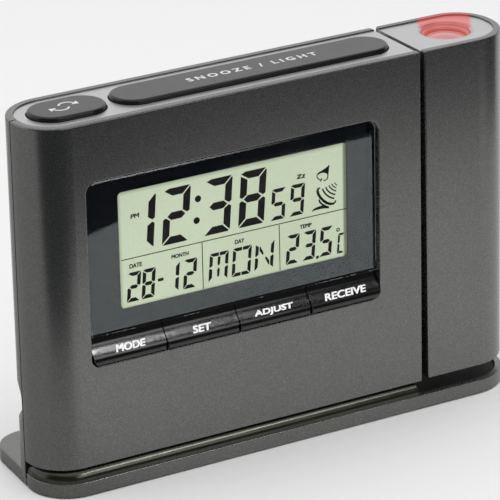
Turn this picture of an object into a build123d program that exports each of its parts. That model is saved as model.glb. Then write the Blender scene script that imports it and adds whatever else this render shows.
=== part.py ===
from build123d import *
import math
import os

os.makedirs("parts", exist_ok=True)

# ---------------------------------------------------------------------------
# Driving dimensions, millimetres.  +Z up, front is -Y, origin under the middle
# of the base on the surface the clock stands on.
# ---------------------------------------------------------------------------
BODY_LEFT = -71.2          # left end of the clock body
BODY_RIGHT = 40.9          # flat right end, facing the projector arm
BODY_FRONT = -17.65
BODY_REAR = 6.85
BODY_MID = (BODY_FRONT + BODY_REAR) / 2      # parting plane of the two shells
BODY_BOTTOM = 7.3
BODY_TOP = 99.3
END_R = 10.8               # plan radius of the body's front left corner
END_R_REAR = 12.8          # plan radius of its rear left corner
WALL = 2.0
SEAM = 0.2                 # half the open joint between the two shells

PLATE_TOP = 98.95          # silver top plates, sunk below the rim
PLATE_T = 1.6
PLATE_LOW = PLATE_TOP - PLATE_T

BASE_BOTTOM = 0.4          # underside of the base walls; rubber pads reach z = 0
BASE_TOP = 3.96
BASE_WALL = 1.7
FLOOR_T = 1.5
# Plan of the base: the hull of four circles (x, y, r), counter-clockwise
BASE_CIRCLES = [(-60.2, -8.15, 11.0), (57.6, -5.55, 13.6), (61.0, 10.15, 9.0), (-60.8, 10.15, 9.0)]
TRIM_END = 38.9            # where the bright strip stops and the arm's bay starts

OPEN_LEFT, OPEN_RIGHT = -57.08, 27.96        # opening for display and keys
OPEN_BOTTOM, OPEN_TOP = 34.12, 83.63
WINDOW_BOTTOM = 42.16
WINDOW_T = 1.8
LCD_LEFT, LCD_RIGHT = -47.44, 19.25          # visible part of the display
LCD_BOTTOM, LCD_TOP = 47.33, 78.65

KEY_PITCH = (OPEN_RIGHT - OPEN_LEFT) / 4
KEY_GAP = 0.36
KEY_TRAVEL = 0.5
TOP_KEY_TRAVEL = 0.6
SNOOZE_X, SNOOZE_L, SNOOZE_W = -2.65, 80.1, 12.7
FLIP_X, FLIP_L, FLIP_W = -55.4, 20.8, 13.2
TOP_KEYS_Y = -5.55
TOP_KEY_TOP = 100.15

ARM_FLAT_TOP, ARM_FLAT_LOW = 42.06, 42.8     # x of the arm's flat side, top and bottom
ARM_RIGHT = 71.15
ARM_R = 12.25              # half the arm's depth
ARM_FRONT_R, ARM_REAR_R = 12.4, 10.5         # plan radii of the arm's right end
ARM_BOTTOM, ARM_TOP = 7.38, 99.3
ARM_WALL = 1.9
PIVOT_Z = (ARM_BOTTOM + ARM_TOP) / 2
PIVOT_R = 7.5
LENS_X = 56.3
LENS_Y = BODY_MID
HOLE_R = 6.6
FOCUS_Z = 84.0
FOCUS_E = 1.2              # eccentricity of the focus pin

PCB_FRONT, PCB_REAR = -11.8, -10.6
CELL_R, CELL_L = 7.2, 50.0
CELL_Y = -2.1
CELL_X = -6.5
CELL_Z = (22.4, 37.8)
JACK_Y, JACK_Z = -0.65, 22.6
JACK_R, JACK_H = 4.3, 5.4  # corner radius and half height of the power inlet's pocket
JACK_FACE = -64.2          # inner end of the pocket


# ---------------------------------------------------------------------------
# Small helpers: they act inside the block that calls them
# ---------------------------------------------------------------------------
def block(x0, x1, y0, y1, z0, z1, mode=Mode.ADD):
    with Locations(((x0 + x1) / 2, (y0 + y1) / 2, (z0 + z1) / 2)):
        Box(x1 - x0, y1 - y0, z1 - z0, mode=mode)


def clip(x0, x1, y0, y1):
    with Locations(((x0 + x1) / 2, (y0 + y1) / 2)):
        Rectangle(x1 - x0, y1 - y0, mode=Mode.INTERSECT)


def rod_x(x0, x1, y, z, r, mode=Mode.ADD):
    with Locations(Location(((x0 + x1) / 2, y, z), (0, 90, 0))):
        Cylinder(r, x1 - x0, mode=mode)


def rod_y(x, y0, y1, z, r, mode=Mode.ADD):
    with Locations(Location((x, (y0 + y1) / 2, z), (90, 0, 0))):
        Cylinder(r, y1 - y0, mode=mode)


def rod_z(x, y, z0, z1, r, mode=Mode.ADD):
    with Locations((x, y, (z0 + z1) / 2)):
        Cylinder(r, z1 - z0, mode=mode)


# ---------------------------------------------------------------------------
# Plans that several pieces share
# ---------------------------------------------------------------------------
def body_plan(inset, right=0.0):
    x0, x1 = BODY_LEFT + inset, BODY_RIGHT - right
    with BuildSketch() as plan:
        with Locations(((x0 + x1) / 2, BODY_MID)):
            Rectangle(x1 - x0, BODY_REAR - BODY_FRONT - 2 * inset)
        fillet(plan.vertices().group_by(Axis.X)[0].sort_by(Axis.Y)[0], END_R - inset)
        fillet(plan.vertices().group_by(Axis.X)[0].sort_by(Axis.Y)[-1], END_R_REAR - inset)
    return plan.sketch


def base_plan(inset):
    points = []
    count = len(BASE_CIRCLES)
    for i in range(count):
        x1, y1, r1 = BASE_CIRCLES[i]
        x2, y2, r2 = BASE_CIRCLES[(i + 1) % count]
        dx, dy = x2 - x1, y2 - y1
        length = math.hypot(dx, dy)
        along = (r1 - r2) / length
        across = math.sqrt(1 - along * along)
        nx = dx / length * along + dy / length * across
        ny = dy / length * along - dx / length * across
        points.append((nx, ny))
    with BuildSketch() as plan:
        with BuildLine():
            for i in range(count):
                x1, y1, r1 = BASE_CIRCLES[i]
                x2, y2, r2 = BASE_CIRCLES[(i + 1) % count]
                nx, ny = points[i]
                px, py = points[(i + 1) % count]
                a, b = r1 - inset, r2 - inset
                Line((x1 + nx * a, y1 + ny * a), (x2 + nx * b, y2 + ny * b))
                mx, my = nx + px, ny + py
                m = math.hypot(mx, my)
                ThreePointArc(
                    (x2 + nx * b, y2 + ny * b),
                    (x2 + mx / m * b, y2 + my / m * b),
                    (x2 + px * b, y2 + py * b),
                )
        make_face()
    return plan.sketch


def arm_plan(inset, left):
    x1 = ARM_RIGHT - inset
    with BuildSketch() as plan:
        with Locations(((left + x1) / 2, BODY_MID)):
            Rectangle(x1 - left, 2 * (ARM_R - inset))
        fillet(plan.vertices().group_by(Axis.X)[-1].sort_by(Axis.Y)[0], ARM_FRONT_R - inset)
        fillet(plan.vertices().group_by(Axis.X)[-1].sort_by(Axis.Y)[-1], ARM_REAR_R - inset)
    return plan.sketch


def opening_plan(inset):
    x0, x1 = OPEN_LEFT + inset, OPEN_RIGHT - inset
    z0, z1 = OPEN_BOTTOM + inset, OPEN_TOP - inset
    with BuildSketch() as plan:
        with Locations(((x0 + x1) / 2, (z0 + z1) / 2)):
            Rectangle(x1 - x0, z1 - z0)
        fillet(plan.vertices().group_by(Axis.Y)[-1], 3.0 - inset)
        fillet(plan.vertices().group_by(Axis.Y)[0], 2.3 - inset)
    return plan.sketch


BODY_0 = body_plan(0.0)
BODY_LIP = body_plan(1.05)
BODY_LIP_IN = body_plan(1.15)
BODY_IN = body_plan(WALL, 1.6)
BODY_PLATE = body_plan(WALL + 0.08)
BODY_LEDGE = body_plan(WALL + 1.6, 1.6)
NECK_OUT = body_plan(2.1, BODY_RIGHT - TRIM_END)
NECK_TRIM = body_plan(2.0, BODY_RIGHT - TRIM_END - 0.05)
NECK_IN = body_plan(4.1, BODY_RIGHT - TRIM_END + 1.6)
BASE_0 = base_plan(0.0)
BASE_TRIM = base_plan(0.25)
BASE_SKIRT = base_plan(0.4)
BASE_CHANNEL = base_plan(BASE_WALL + 0.1)
BASE_IN = base_plan(BASE_WALL)
BASE_PLATE = base_plan(BASE_WALL + 0.1)
ARM_0 = arm_plan(0.0, 41.0)
ARM_IN = arm_plan(ARM_WALL, 41.0)
ARM_PLATE = arm_plan(ARM_WALL + 0.08, ARM_FLAT_TOP)
ARM_LEDGE = arm_plan(ARM_WALL + 1.4, 41.0)
OPENING = opening_plan(0.0)
WINDOW = opening_plan(0.18)
KEYS = opening_plan(0.28)
FRONT_PLANE = Plane(origin=(0, BODY_FRONT, 0), x_dir=(1, 0, 0), z_dir=(0, -1, 0))

SHELL_SCREWS = [(-60.8, 90.5), (33.0, 90.5), (-60.8, 13.5), (33.0, 13.5)]
BASE_SCREWS = [(-42.0, 13.0), (42.0, 13.0), (-50.0, -11.6), (30.0, -11.6)]
PADS = [(-60.5, -9.0), (60.0, -8.0), (-60.5, 11.5), (60.5, 11.5)]
PCB_SCREWS = [(-54.0, 86.6), (25.0, 86.6), (-54.0, 30.2), (26.0, 30.2)]
KEY_CENTRES = [OPEN_LEFT + KEY_PITCH * (i + 0.5) for i in range(4)]

# ---------------------------------------------------------------------------
# Casing of the clock body
# ---------------------------------------------------------------------------
with BuildPart() as front_shell:
    # outer block with its rounded corner, softened at the top and bottom edges
    with BuildSketch(Plane.XY.offset(BODY_BOTTOM)):
        add(BODY_0)
        clip(-100, 100, -60, BODY_MID - SEAM)
    extrude(amount=BODY_TOP - BODY_BOTTOM)
    fillet(
        front_shell.edges()
        .filter_by(Axis.Z)
        .filter_by_position(Axis.X, BODY_RIGHT - 0.01, BODY_RIGHT + 0.01)
        .filter_by_position(Axis.Y, BODY_FRONT - 0.01, BODY_FRONT + 0.01),
        0.45,
    )
    outline = front_shell.edges().filter_by_position(Axis.Y, -60, BODY_MID - SEAM - 0.05)
    top_edges = outline.filter_by_position(Axis.Z, BODY_TOP - 0.01, BODY_TOP + 0.01).filter_by_position(
        Axis.X, -100, BODY_RIGHT - 0.02
    )
    fillet(top_edges, 0.5)
    outline = front_shell.edges().filter_by_position(Axis.Y, -60, BODY_MID - SEAM - 0.05)
    low_edges = outline.filter_by_position(Axis.Z, BODY_BOTTOM - 0.01, BODY_BOTTOM + 0.01).filter_by_position(
        Axis.X, -100, BODY_RIGHT - 0.02
    )
    fillet(low_edges, 0.2)
    # neck that carries the body on the base, with the channel for the strip
    with BuildSketch(Plane.XY.offset(2.2)):
        add(NECK_OUT)
        clip(-100, 100, -60, BODY_MID - SEAM)
    extrude(amount=BODY_BOTTOM + 1.2 - 2.2)
    with BuildSketch(Plane.XY.offset(2.2)):
        add(BASE_0)
        clip(-100, TRIM_END, -60, BODY_MID - SEAM)
    extrude(amount=0.9)
    with BuildSketch(Plane.XY.offset(BASE_BOTTOM)) as ring:
        add(BASE_0)
        add(BASE_IN, mode=Mode.SUBTRACT)
        clip(-100, 100, -60, BODY_MID - SEAM)
    extrude(amount=BASE_TOP - BASE_BOTTOM)
    # softened outer edge of the skirt, just inside which the strip stands
    skirt = BASE_SKIRT.faces()[0]
    rim_edges = [
        e
        for e in front_shell.edges().filter_by_position(Axis.Z, BASE_TOP - 0.01, BASE_TOP + 0.01)
        if not skirt.is_inside(Vector((e @ 0.5).X, (e @ 0.5).Y, 0))
    ]
    fillet(rim_edges, 0.2)
    # hollow of the body and of the neck
    with BuildSketch(Plane.XY.offset(BODY_BOTTOM + 1.5)):
        add(BODY_IN)
        clip(-100, 100, -60, BODY_MID)
    extrude(amount=100, mode=Mode.SUBTRACT)
    with BuildSketch(Plane.XY.offset(0)):
        add(NECK_IN)
        clip(-100, 100, -60, BODY_MID)
    extrude(amount=BODY_BOTTOM + 2.0, mode=Mode.SUBTRACT)
    # the right end wall stops under the top plate, which runs out flush over it
    block(30, 60, BODY_FRONT + WALL, BODY_MID + 1, PLATE_LOW, 110, mode=Mode.SUBTRACT)
    # rebate for the rear shell's lip
    with BuildSketch(Plane.XY.offset(BODY_BOTTOM + 1.5)):
        add(BODY_LIP)
        clip(-100, 30, BODY_MID - 1.9, BODY_MID + 1)
    extrude(amount=PLATE_LOW - 1.5 - BODY_BOTTOM - 1.5, mode=Mode.SUBTRACT)
    # ledge under the top plate
    with BuildSketch(Plane.XY.offset(PLATE_LOW - 1.5)):
        add(BODY_LIP_IN)
        add(BODY_LEDGE, mode=Mode.SUBTRACT)
        clip(-100, 39.0, -60, BODY_MID - SEAM)
    extrude(amount=1.5)
    # opening for the display and the keys, with a softened edge
    with BuildSketch(FRONT_PLANE.offset(2)):
        add(OPENING)
    extrude(amount=-6, mode=Mode.SUBTRACT)
    fillet(
        front_shell.edges()
        .filter_by_position(Axis.Y, BODY_FRONT - 0.01, BODY_FRONT + 0.01)
        .filter_by_position(Axis.X, OPEN_LEFT - 0.01, OPEN_RIGHT + 0.01)
        .filter_by_position(Axis.Z, OPEN_BOTTOM - 0.01, OPEN_TOP + 0.01),
        0.3,
    )
    # half hole for the arm's pivot bush in the right end wall
    rod_x(37, 43, BODY_MID, PIVOT_Z, 9.55, mode=Mode.SUBTRACT)
    # screw pillars, taking the shell screws from behind
    for x, z in SHELL_SCREWS:
        rod_y(x, BODY_FRONT + 1.2, BODY_MID - 0.2, z, 3.0)
        rod_y(x, BODY_FRONT + 4.0, BODY_MID, z, 1.15, mode=Mode.SUBTRACT)
    # pillars that carry the circuit board
    for x, z in PCB_SCREWS:
        rod_y(x, BODY_FRONT + 1.2, PCB_FRONT, z, 2.0)
        rod_y(x, BODY_FRONT + 1.9, PCB_FRONT + 1, z, 0.8, mode=Mode.SUBTRACT)
    # bosses for the base screws
    for x, y in BASE_SCREWS[2:]:
        rod_z(x, y, FLOOR_T + BASE_BOTTOM + 0.15, 9.4, 2.6)
        rod_z(x, y, 0, 7.5, 1.1, mode=Mode.SUBTRACT)
front_shell.part.label = "front_shell"
export_step(front_shell.part, "parts/front_shell.step")

with BuildPart() as rear_shell:
    # rear half of the body, standing straight on the rear foot
    with BuildSketch(Plane.XY.offset(BASE_TOP - 1.6)):
        add(BODY_0)
        clip(-100, 100, BODY_MID + SEAM, 60)
    extrude(amount=BODY_TOP - BASE_TOP + 1.6)
    fillet(
        rear_shell.edges()
        .filter_by(Axis.Z)
        .filter_by_position(Axis.X, BODY_RIGHT - 0.01, BODY_RIGHT + 0.01)
        .filter_by_position(Axis.Y, BODY_REAR - 0.01, BODY_REAR + 0.01),
        1.2,
    )
    outline = rear_shell.edges().filter_by_position(Axis.Y, BODY_MID + SEAM + 0.05, 60)
    top_edges = outline.filter_by_position(Axis.Z, BODY_TOP - 0.01, BODY_TOP + 0.01).filter_by_position(
        Axis.X, -100, BODY_RIGHT - 0.02
    )
    fillet(top_edges, 0.5)
    # rear foot: a flat step with rounded corners
    with BuildSketch(Plane.XY.offset(BASE_BOTTOM)):
        add(BASE_0)
        clip(-100, 100, BODY_MID + SEAM, 60)
    extrude(amount=BASE_TOP - BASE_BOTTOM)
    foot_edges = (
        rear_shell.edges()
        .filter_by_position(Axis.Z, BASE_TOP - 0.01, BASE_TOP + 0.01)
        .filter_by_position(Axis.Y, BODY_REAR + 2.0, 60)
    )
    fillet(foot_edges, 0.4)
    with BuildSketch(Plane.XY.offset(0)):
        add(BASE_IN)
        clip(-100, 100, BODY_MID - 1, 60)
    extrude(amount=BASE_TOP - 1.6, mode=Mode.SUBTRACT)
    # bay under the projector arm, filled by the base plate's deck
    with BuildSketch(Plane.XY.offset(0)):
        add(BASE_IN)
        clip(BODY_RIGHT + 0.3, 100, BODY_MID - 1, 9.0)
    extrude(amount=10, mode=Mode.SUBTRACT)
    # hollow of the body
    with BuildSketch(Plane.XY.offset(0)):
        add(BODY_IN)
        clip(-100, 100, BODY_MID - 1, 60)
    extrude(amount=120, mode=Mode.SUBTRACT)
    block(30, 60, BODY_MID - 1, BODY_REAR - WALL, PLATE_LOW, 110, mode=Mode.SUBTRACT)
    # lip that closes the joint from inside
    with BuildSketch(Plane.XY.offset(BODY_BOTTOM + 2.0)):
        add(BODY_LIP_IN)
        add(BODY_IN, mode=Mode.SUBTRACT)
        clip(-100, 29.5, BODY_MID - 1.6, BODY_MID + 1.5)
    extrude(amount=PLATE_LOW - 2.0 - BODY_BOTTOM - 2.0)
    # ledge under the top plate
    with BuildSketch(Plane.XY.offset(PLATE_LOW - 1.5)):
        add(BODY_LIP_IN)
        add(BODY_LEDGE, mode=Mode.SUBTRACT)
        clip(-100, 39.0, BODY_MID + SEAM, 60)
    extrude(amount=1.5)
    # half hole for the pivot bush
    rod_x(37, 43, BODY_MID, PIVOT_Z, 9.55, mode=Mode.SUBTRACT)
    # battery bay, moulded in one with the shell
    block(CELL_X - 30.0, CELL_X + 30.0, -10.3, BODY_REAR - 1.0, 12.9, 47.3)
    block(CELL_X - 28.8, CELL_X + 28.8, -9.4, BODY_REAR + 1, 14.1, 46.1, mode=Mode.SUBTRACT)
    # screw pillars with sunk heads
    for x, z in SHELL_SCREWS:
        rod_y(x, BODY_MID + 0.0, BODY_REAR - 1.6, z, 3.0)
        rod_y(x, BODY_MID - 1, BODY_REAR + 1, z, 1.5, mode=Mode.SUBTRACT)
        rod_y(x, 3.6, BODY_REAR + 1, z, 2.7, mode=Mode.SUBTRACT)
    for x, y in BASE_SCREWS[:2]:
        rod_z(x, y, FLOOR_T + BASE_BOTTOM + 0.15, BASE_TOP - 0.6, 2.6)
        rod_z(x, y, 0, BASE_TOP - 1.0, 1.1, mode=Mode.SUBTRACT)
    # pocket of the power inlet in the left end, open to the back for the plug's lead
    with BuildSketch(Plane.XY.offset(JACK_Z - JACK_H - 0.9)):
        add(BODY_0)
        clip(-100, -60.5, BODY_MID + SEAM, 60)
    extrude(amount=2 * JACK_H + 2.1)
    with BuildSketch(Plane.XY.offset(JACK_Z - JACK_H - 0.9)):
        add(BODY_LIP_IN)
        clip(-100, -60.5, BODY_MID - 1.0, BODY_MID + 1.0)
    extrude(amount=2 * JACK_H + 2.1)
    for dz in (JACK_R - JACK_H, JACK_H - JACK_R):
        rod_x(-80, JACK_FACE, JACK_Y, JACK_Z + dz, JACK_R, mode=Mode.SUBTRACT)
    block(-80, JACK_FACE, JACK_Y - JACK_R, 20, JACK_Z + JACK_R - JACK_H, JACK_Z + JACK_H - JACK_R, mode=Mode.SUBTRACT)
    block(-80, JACK_FACE, JACK_Y, 20, JACK_Z - JACK_H, JACK_Z + JACK_H, mode=Mode.SUBTRACT)
    rod_x(JACK_FACE - 0.5, -60, JACK_Y, JACK_Z, 3.95, mode=Mode.SUBTRACT)
    # sound slots of the buzzer
    for i in range(5):
        with Locations((-46.0 + 3.4 * i, BODY_REAR, 70.0)):
            Box(1.3, 6, 13.0, mode=Mode.SUBTRACT)
    # shallow finger dip above the battery door
    with Locations((CELL_X, BODY_REAR + 3.7, 48.0)):
        Sphere(5.0, mode=Mode.SUBTRACT)
    # shelves under the top key board, saddles of the antenna, pegs of the receiver
    for x in (-49.0, 16.0):
        block(x - 2.0, x + 2.0, -0.5, BODY_REAR - 1.5, 86.8, 89.55)
        rod_z(x, 0.9, 80, 95, 0.75, mode=Mode.SUBTRACT)
    for x in (-29.0, 13.0):
        block(x - 1.5, x + 1.5, -2.0, BODY_REAR - 1.5, 75.0, 85.0)
    rod_x(-36.0, 21.0, -3.0, 80.0, 4.03, mode=Mode.SUBTRACT)
    for z in (39.5, 47.0):
        rod_y(-54.0, 2.85, BODY_REAR - 1.5, z, 1.6)
rear_shell.part.label = "rear_shell"
export_step(rear_shell.part, "parts/rear_shell.step")

with BuildPart() as base_plate:
    # black underside, stepping up to a deck in the bay under the arm
    with BuildSketch(Plane.XY.offset(BASE_BOTTOM)):
        add(BASE_PLATE)
    extrude(amount=FLOOR_T)
    with BuildSketch(Plane.XY.offset(BASE_BOTTOM + FLOOR_T)):
        add(BASE_PLATE)
        clip(TRIM_END + 0.1, 100, -60, BODY_MID)
    extrude(amount=1.4)
    with BuildSketch(Plane.XY.offset(BASE_BOTTOM + FLOOR_T)):
        add(BASE_PLATE)
        clip(BODY_RIGHT + 0.4, 100, BODY_MID - 0.5, 8.9)
    extrude(amount=1.4)
    for x, y in BASE_SCREWS:
        rod_z(x, y, 0, 5, 1.3, mode=Mode.SUBTRACT)
        rod_z(x, y, 0, BASE_BOTTOM + 0.8, 2.4, mode=Mode.SUBTRACT)
    for x, y in PADS:
        rod_z(x, y, 0, BASE_BOTTOM + 0.6, 4.6, mode=Mode.SUBTRACT)
base_plate.part.label = "base_plate"
export_step(base_plate.part, "parts/base_plate.step")

with BuildPart() as base_pads:
    for x, y in PADS:
        rod_z(x, y, 0, BASE_BOTTOM + 0.6, 4.5)
    fillet(base_pads.edges().group_by(Axis.Z)[0], 0.25)
base_pads.part.label = "base_pads"
export_step(base_pads.part, "parts/base_pads.step")

with BuildPart() as base_trim:
    # bright strip along the front and round the left corner, rounded outwards
    with BuildSketch(Plane.XY.offset(BASE_TOP + 0.02)):
        add(BASE_TRIM)
        clip(-100, TRIM_END - 0.1, -60, BODY_MID - 0.4)
    extrude(amount=3.1)
    outer = (
        base_trim.edges()
        .group_by(Axis.Z)[-1]
        .filter_by_position(Axis.Y, -60, BODY_MID - 0.45)
        .filter_by_position(Axis.X, -100, TRIM_END - 0.15)
    )
    fillet(outer, 2.8)
    with BuildSketch(Plane.XY.offset(3.15)):
        add(BASE_CHANNEL)
        clip(-100, TRIM_END - 0.1, -60, BODY_MID - 0.4)
    extrude(amount=BASE_TOP + 0.1 - 3.15)
    with BuildSketch(Plane.XY):
        add(NECK_TRIM)
        clip(-100, TRIM_END + 1, -60, 60)
    extrude(amount=20, mode=Mode.SUBTRACT)
base_trim.part.label = "base_trim"
export_step(base_trim.part, "parts/base_trim.step")

with BuildPart() as body_top_plate:
    with BuildSketch(Plane.XY.offset(PLATE_LOW)):
        add(BODY_PLATE)
        with Locations((SNOOZE_X, TOP_KEYS_Y)):
            SlotOverall(SNOOZE_L + 0.6, SNOOZE_W + 0.6, mode=Mode.SUBTRACT)
        with Locations((FLIP_X, TOP_KEYS_Y)):
            SlotOverall(FLIP_L + 0.6, FLIP_W + 0.6, mode=Mode.SUBTRACT)
    extrude(amount=PLATE_T)
    chamfer(
        body_top_plate.edges().group_by(Axis.Z)[-1].filter_by_position(Axis.X, BODY_RIGHT - 0.01, BODY_RIGHT + 0.01),
        0.2,
    )
body_top_plate.part.label = "body_top_plate"
export_step(body_top_plate.part, "parts/body_top_plate.step")

# ---------------------------------------------------------------------------
# Display
# ---------------------------------------------------------------------------
with BuildPart() as display_window:
    with BuildSketch(FRONT_PLANE.offset(-0.05)):
        add(WINDOW)
        clip(-100, 100, WINDOW_BOTTOM, 120)
    extrude(amount=-WINDOW_T)
    front_face = display_window.faces().sort_by(Axis.Y)[0]
    chamfer(front_face.edges(), 0.34, 0.2, reference=front_face)
display_window.part.label = "display_window"
export_step(display_window.part, "parts/display_window.step")

with BuildPart() as display_mask:
    # black border behind the window
    with BuildSketch(FRONT_PLANE.offset(-0.05 - WINDOW_T)):
        add(WINDOW)
        clip(-100, 100, WINDOW_BOTTOM, 120)
        with Locations(((LCD_LEFT + LCD_RIGHT) / 2, (LCD_BOTTOM + LCD_TOP) / 2)):
            RectangleRounded(LCD_RIGHT - LCD_LEFT, LCD_TOP - LCD_BOTTOM, 1.2, mode=Mode.SUBTRACT)
    extrude(amount=-0.2)
display_mask.part.label = "display_mask"
export_step(display_mask.part, "parts/display_mask.step")

GLASS = (-50.5, 22.3, 44.5, 81.5)
with BuildPart() as lcd_panel:
    block(GLASS[0], GLASS[1], -15.58, -14.7, GLASS[2], GLASS[3])
    block(GLASS[0], GLASS[1], -14.7, -13.7, GLASS[2] + 0.4, GLASS[3] - 0.4)
lcd_panel.part.label = "lcd_panel"
export_step(lcd_panel.part, "parts/lcd_panel.step")

with BuildPart() as lcd_frame:
    block(-58.0, 28.9, -15.58, -14.8, 43.6, 84.4)
    block(-52.2, 24.0, -14.8, PCB_FRONT, 43.6, 83.2)
    block(GLASS[0] - 0.1, GLASS[1] + 0.1, -17, -10, GLASS[2] - 0.1, GLASS[3] + 0.1, mode=Mode.SUBTRACT)
lcd_frame.part.label = "lcd_frame"
export_step(lcd_frame.part, "parts/lcd_frame.step")

with BuildPart() as backlight_guide:
    block(-47.5, 19.3, -13.65, -12.2, 47.0, 79.0)
    block(-50.0, -47.5, -13.65, -12.2, 60.0, 66.0)
backlight_guide.part.label = "backlight_guide"
export_step(backlight_guide.part, "parts/backlight_guide.step")

with BuildPart() as zebra_strips:
    block(-46.0, 18.0, -13.7, PCB_FRONT, 45.0, 46.8)
    block(-46.0, 18.0, -13.7, PCB_FRONT, 79.2, 81.0)
zebra_strips.part.label = "zebra_strips"
export_step(zebra_strips.part, "parts/zebra_strips.step")

# ---------------------------------------------------------------------------
# Electronics in the body
# ---------------------------------------------------------------------------
with BuildPart() as main_pcb:
    block(-57.0, 28.5, PCB_FRONT, PCB_REAR, 27.6, 89.4)
    for x, z in PCB_SCREWS:
        rod_y(x, -20, 0, z, 1.0, mode=Mode.SUBTRACT)
main_pcb.part.label = "main_pcb"
export_step(main_pcb.part, "parts/main_pcb.step")

with BuildPart() as pcb_screws:
    for x, z in PCB_SCREWS:
        rod_y(x, PCB_REAR, PCB_REAR + 1.1, z, 1.75)
        rod_y(x, BODY_FRONT + 2.4, PCB_REAR, z, 0.78)
    for x in (-49.0, 16.0):
        rod_z(x, 0.9, 90.8, 91.9, 1.75)
        rod_z(x, 0.9, 87.5, 90.8, 0.73)
pcb_screws.part.label = "pcb_screws"
export_step(pcb_screws.part, "parts/pcb_screws.step")

with BuildPart() as clock_chip:
    rod_y(-12.0, PCB_REAR, PCB_REAR + 1.5, 62.0, 6.0)
    fillet(clock_chip.edges().group_by(Axis.Y)[-1], 1.2)
clock_chip.part.label = "clock_chip"
export_step(clock_chip.part, "parts/clock_chip.step")

with BuildPart() as quartz_crystal:
    rod_x(-29.0, -23.0, PCB_REAR + 1.05, 58.0, 1.05)
    fillet(quartz_crystal.edges().group_by(Axis.X)[0], 0.3)
quartz_crystal.part.label = "quartz_crystal"
export_step(quartz_crystal.part, "parts/quartz_crystal.step")

SWITCH_Z = 38.2
with BuildPart() as front_switches:
    for x in KEY_CENTRES:
        block(x - 3.0, x + 3.0, -13.6, PCB_FRONT, SWITCH_Z - 3.0, SWITCH_Z + 3.0)
        rod_y(x, -14, -12.15, SWITCH_Z, 1.45, mode=Mode.SUBTRACT)
front_switches.part.label = "front_switches"
export_step(front_switches.part, "parts/front_switches.step")

FLIP_SWITCH_X = -54.0
SNOOZE_SWITCH_X = (-27.0, 20.0)
with BuildPart() as top_key_board:
    block(-57.6, 27.5, -10.2, 2.6, 89.6, 90.8)
    for x in (-49.0, 16.0):
        rod_z(x, 0.9, 80, 95, 0.85, mode=Mode.SUBTRACT)
top_key_board.part.label = "top_key_board"
export_step(top_key_board.part, "parts/top_key_board.step")

with BuildPart() as top_switches:
    for x in (FLIP_SWITCH_X,) + SNOOZE_SWITCH_X:
        block(x - 3.0, x + 3.0, TOP_KEYS_Y - 3.0, TOP_KEYS_Y + 3.0, 90.8, 93.0)
        rod_z(x, TOP_KEYS_Y, 91.2, 94, 1.45, mode=Mode.SUBTRACT)
top_switches.part.label = "top_switches"
export_step(top_switches.part, "parts/top_switches.step")

with BuildPart() as radio_board:
    block(-62.0, -46.0, 1.8, 2.8, 36.5, 50.0)
    block(-58.0, -50.0, 0.4, 1.8, 40.0, 46.0)
radio_board.part.label = "radio_board"
export_step(radio_board.part, "parts/radio_board.step")

with BuildPart() as ferrite_rod:
    rod_x(-35.0, 20.0, -3.0, 80.0, 4.0)
    fillet(ferrite_rod.edges(), 0.4)
ferrite_rod.part.label = "ferrite_rod"
export_step(ferrite_rod.part, "parts/ferrite_rod.step")

with BuildPart() as antenna_coil:
    rod_x(-20.0, 4.0, -3.0, 80.0, 5.1)
    rod_x(-21.0, 5.0, -3.0, 80.0, 4.02, mode=Mode.SUBTRACT)
antenna_coil.part.label = "antenna_coil"
export_step(antenna_coil.part, "parts/antenna_coil.step")

with BuildPart() as buzzer:
    rod_y(-39.2, 2.7, 4.85, 66.0, 8.5)
    rod_y(-39.2, 4.0, 6.0, 66.0, 6.5, mode=Mode.SUBTRACT)
buzzer.part.label = "buzzer"
export_step(buzzer.part, "parts/buzzer.step")

with BuildPart() as dc_jack:
    # barrel inlet: outer sleeve, flange behind the boss and centre pin
    rod_x(JACK_FACE + 0.2, -57.0, JACK_Y, JACK_Z, 3.9)
    rod_x(-60.45, -57.0, JACK_Y, JACK_Z, 4.9)
    rod_x(-67.0, -58.5, JACK_Y, JACK_Z, 2.85, mode=Mode.SUBTRACT)
    rod_x(JACK_FACE + 0.9, -57.5, JACK_Y, JACK_Z, 1.0)
dc_jack.part.label = "dc_jack"
export_step(dc_jack.part, "parts/dc_jack.step")

with BuildPart() as battery_cells:
    for i, z in enumerate(CELL_Z):
        turn = 1 if i == 0 else -1
        rod_x(CELL_X - CELL_L / 2, CELL_X + CELL_L / 2, CELL_Y, z, CELL_R)
        tip = CELL_X + turn * CELL_L / 2
        rod_x(min(tip - 0.2, tip + turn * 1.0), max(tip + 0.2, tip + turn * 1.0), CELL_Y, z, 2.7)
battery_cells.part.label = "battery_cells"
export_step(battery_cells.part, "parts/battery_cells.step")

with BuildPart() as battery_contacts:
    # bowed spring plates against the flat ends, plain plates at the tips
    for i, z in enumerate(CELL_Z):
        turn = 1 if i == 0 else -1
        wall = CELL_X + turn * 28.8
        block(min(wall, wall - turn * 0.5), max(wall, wall - turn * 0.5), -8.5, 4.3, z - 5.5, z + 5.5)
        tip = CELL_X + turn * (CELL_L / 2 + 1.0)
        rod_x(min(wall - turn * 0.3, tip), max(wall - turn * 0.3, tip), CELL_Y, z, 3.0)
        wall = CELL_X - turn * 28.8
        flat = CELL_X - turn * CELL_L / 2
        block(min(wall, wall + turn * 0.5), max(wall, wall + turn * 0.5), -8.5, 4.3, z - 5.5, z + 5.5)
        for k, r in enumerate((3.6, 3.1, 2.6, 2.1)):
            with Locations(Location((wall + turn * (0.75 + 0.72 * k), CELL_Y, z), (0, 90, 0))):
                Torus(r, 0.45)
        rod_x(min(wall, flat), max(wall, flat), CELL_Y, z, 1.9)
battery_contacts.part.label = "battery_contacts"
export_step(battery_contacts.part, "parts/battery_contacts.step")

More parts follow.
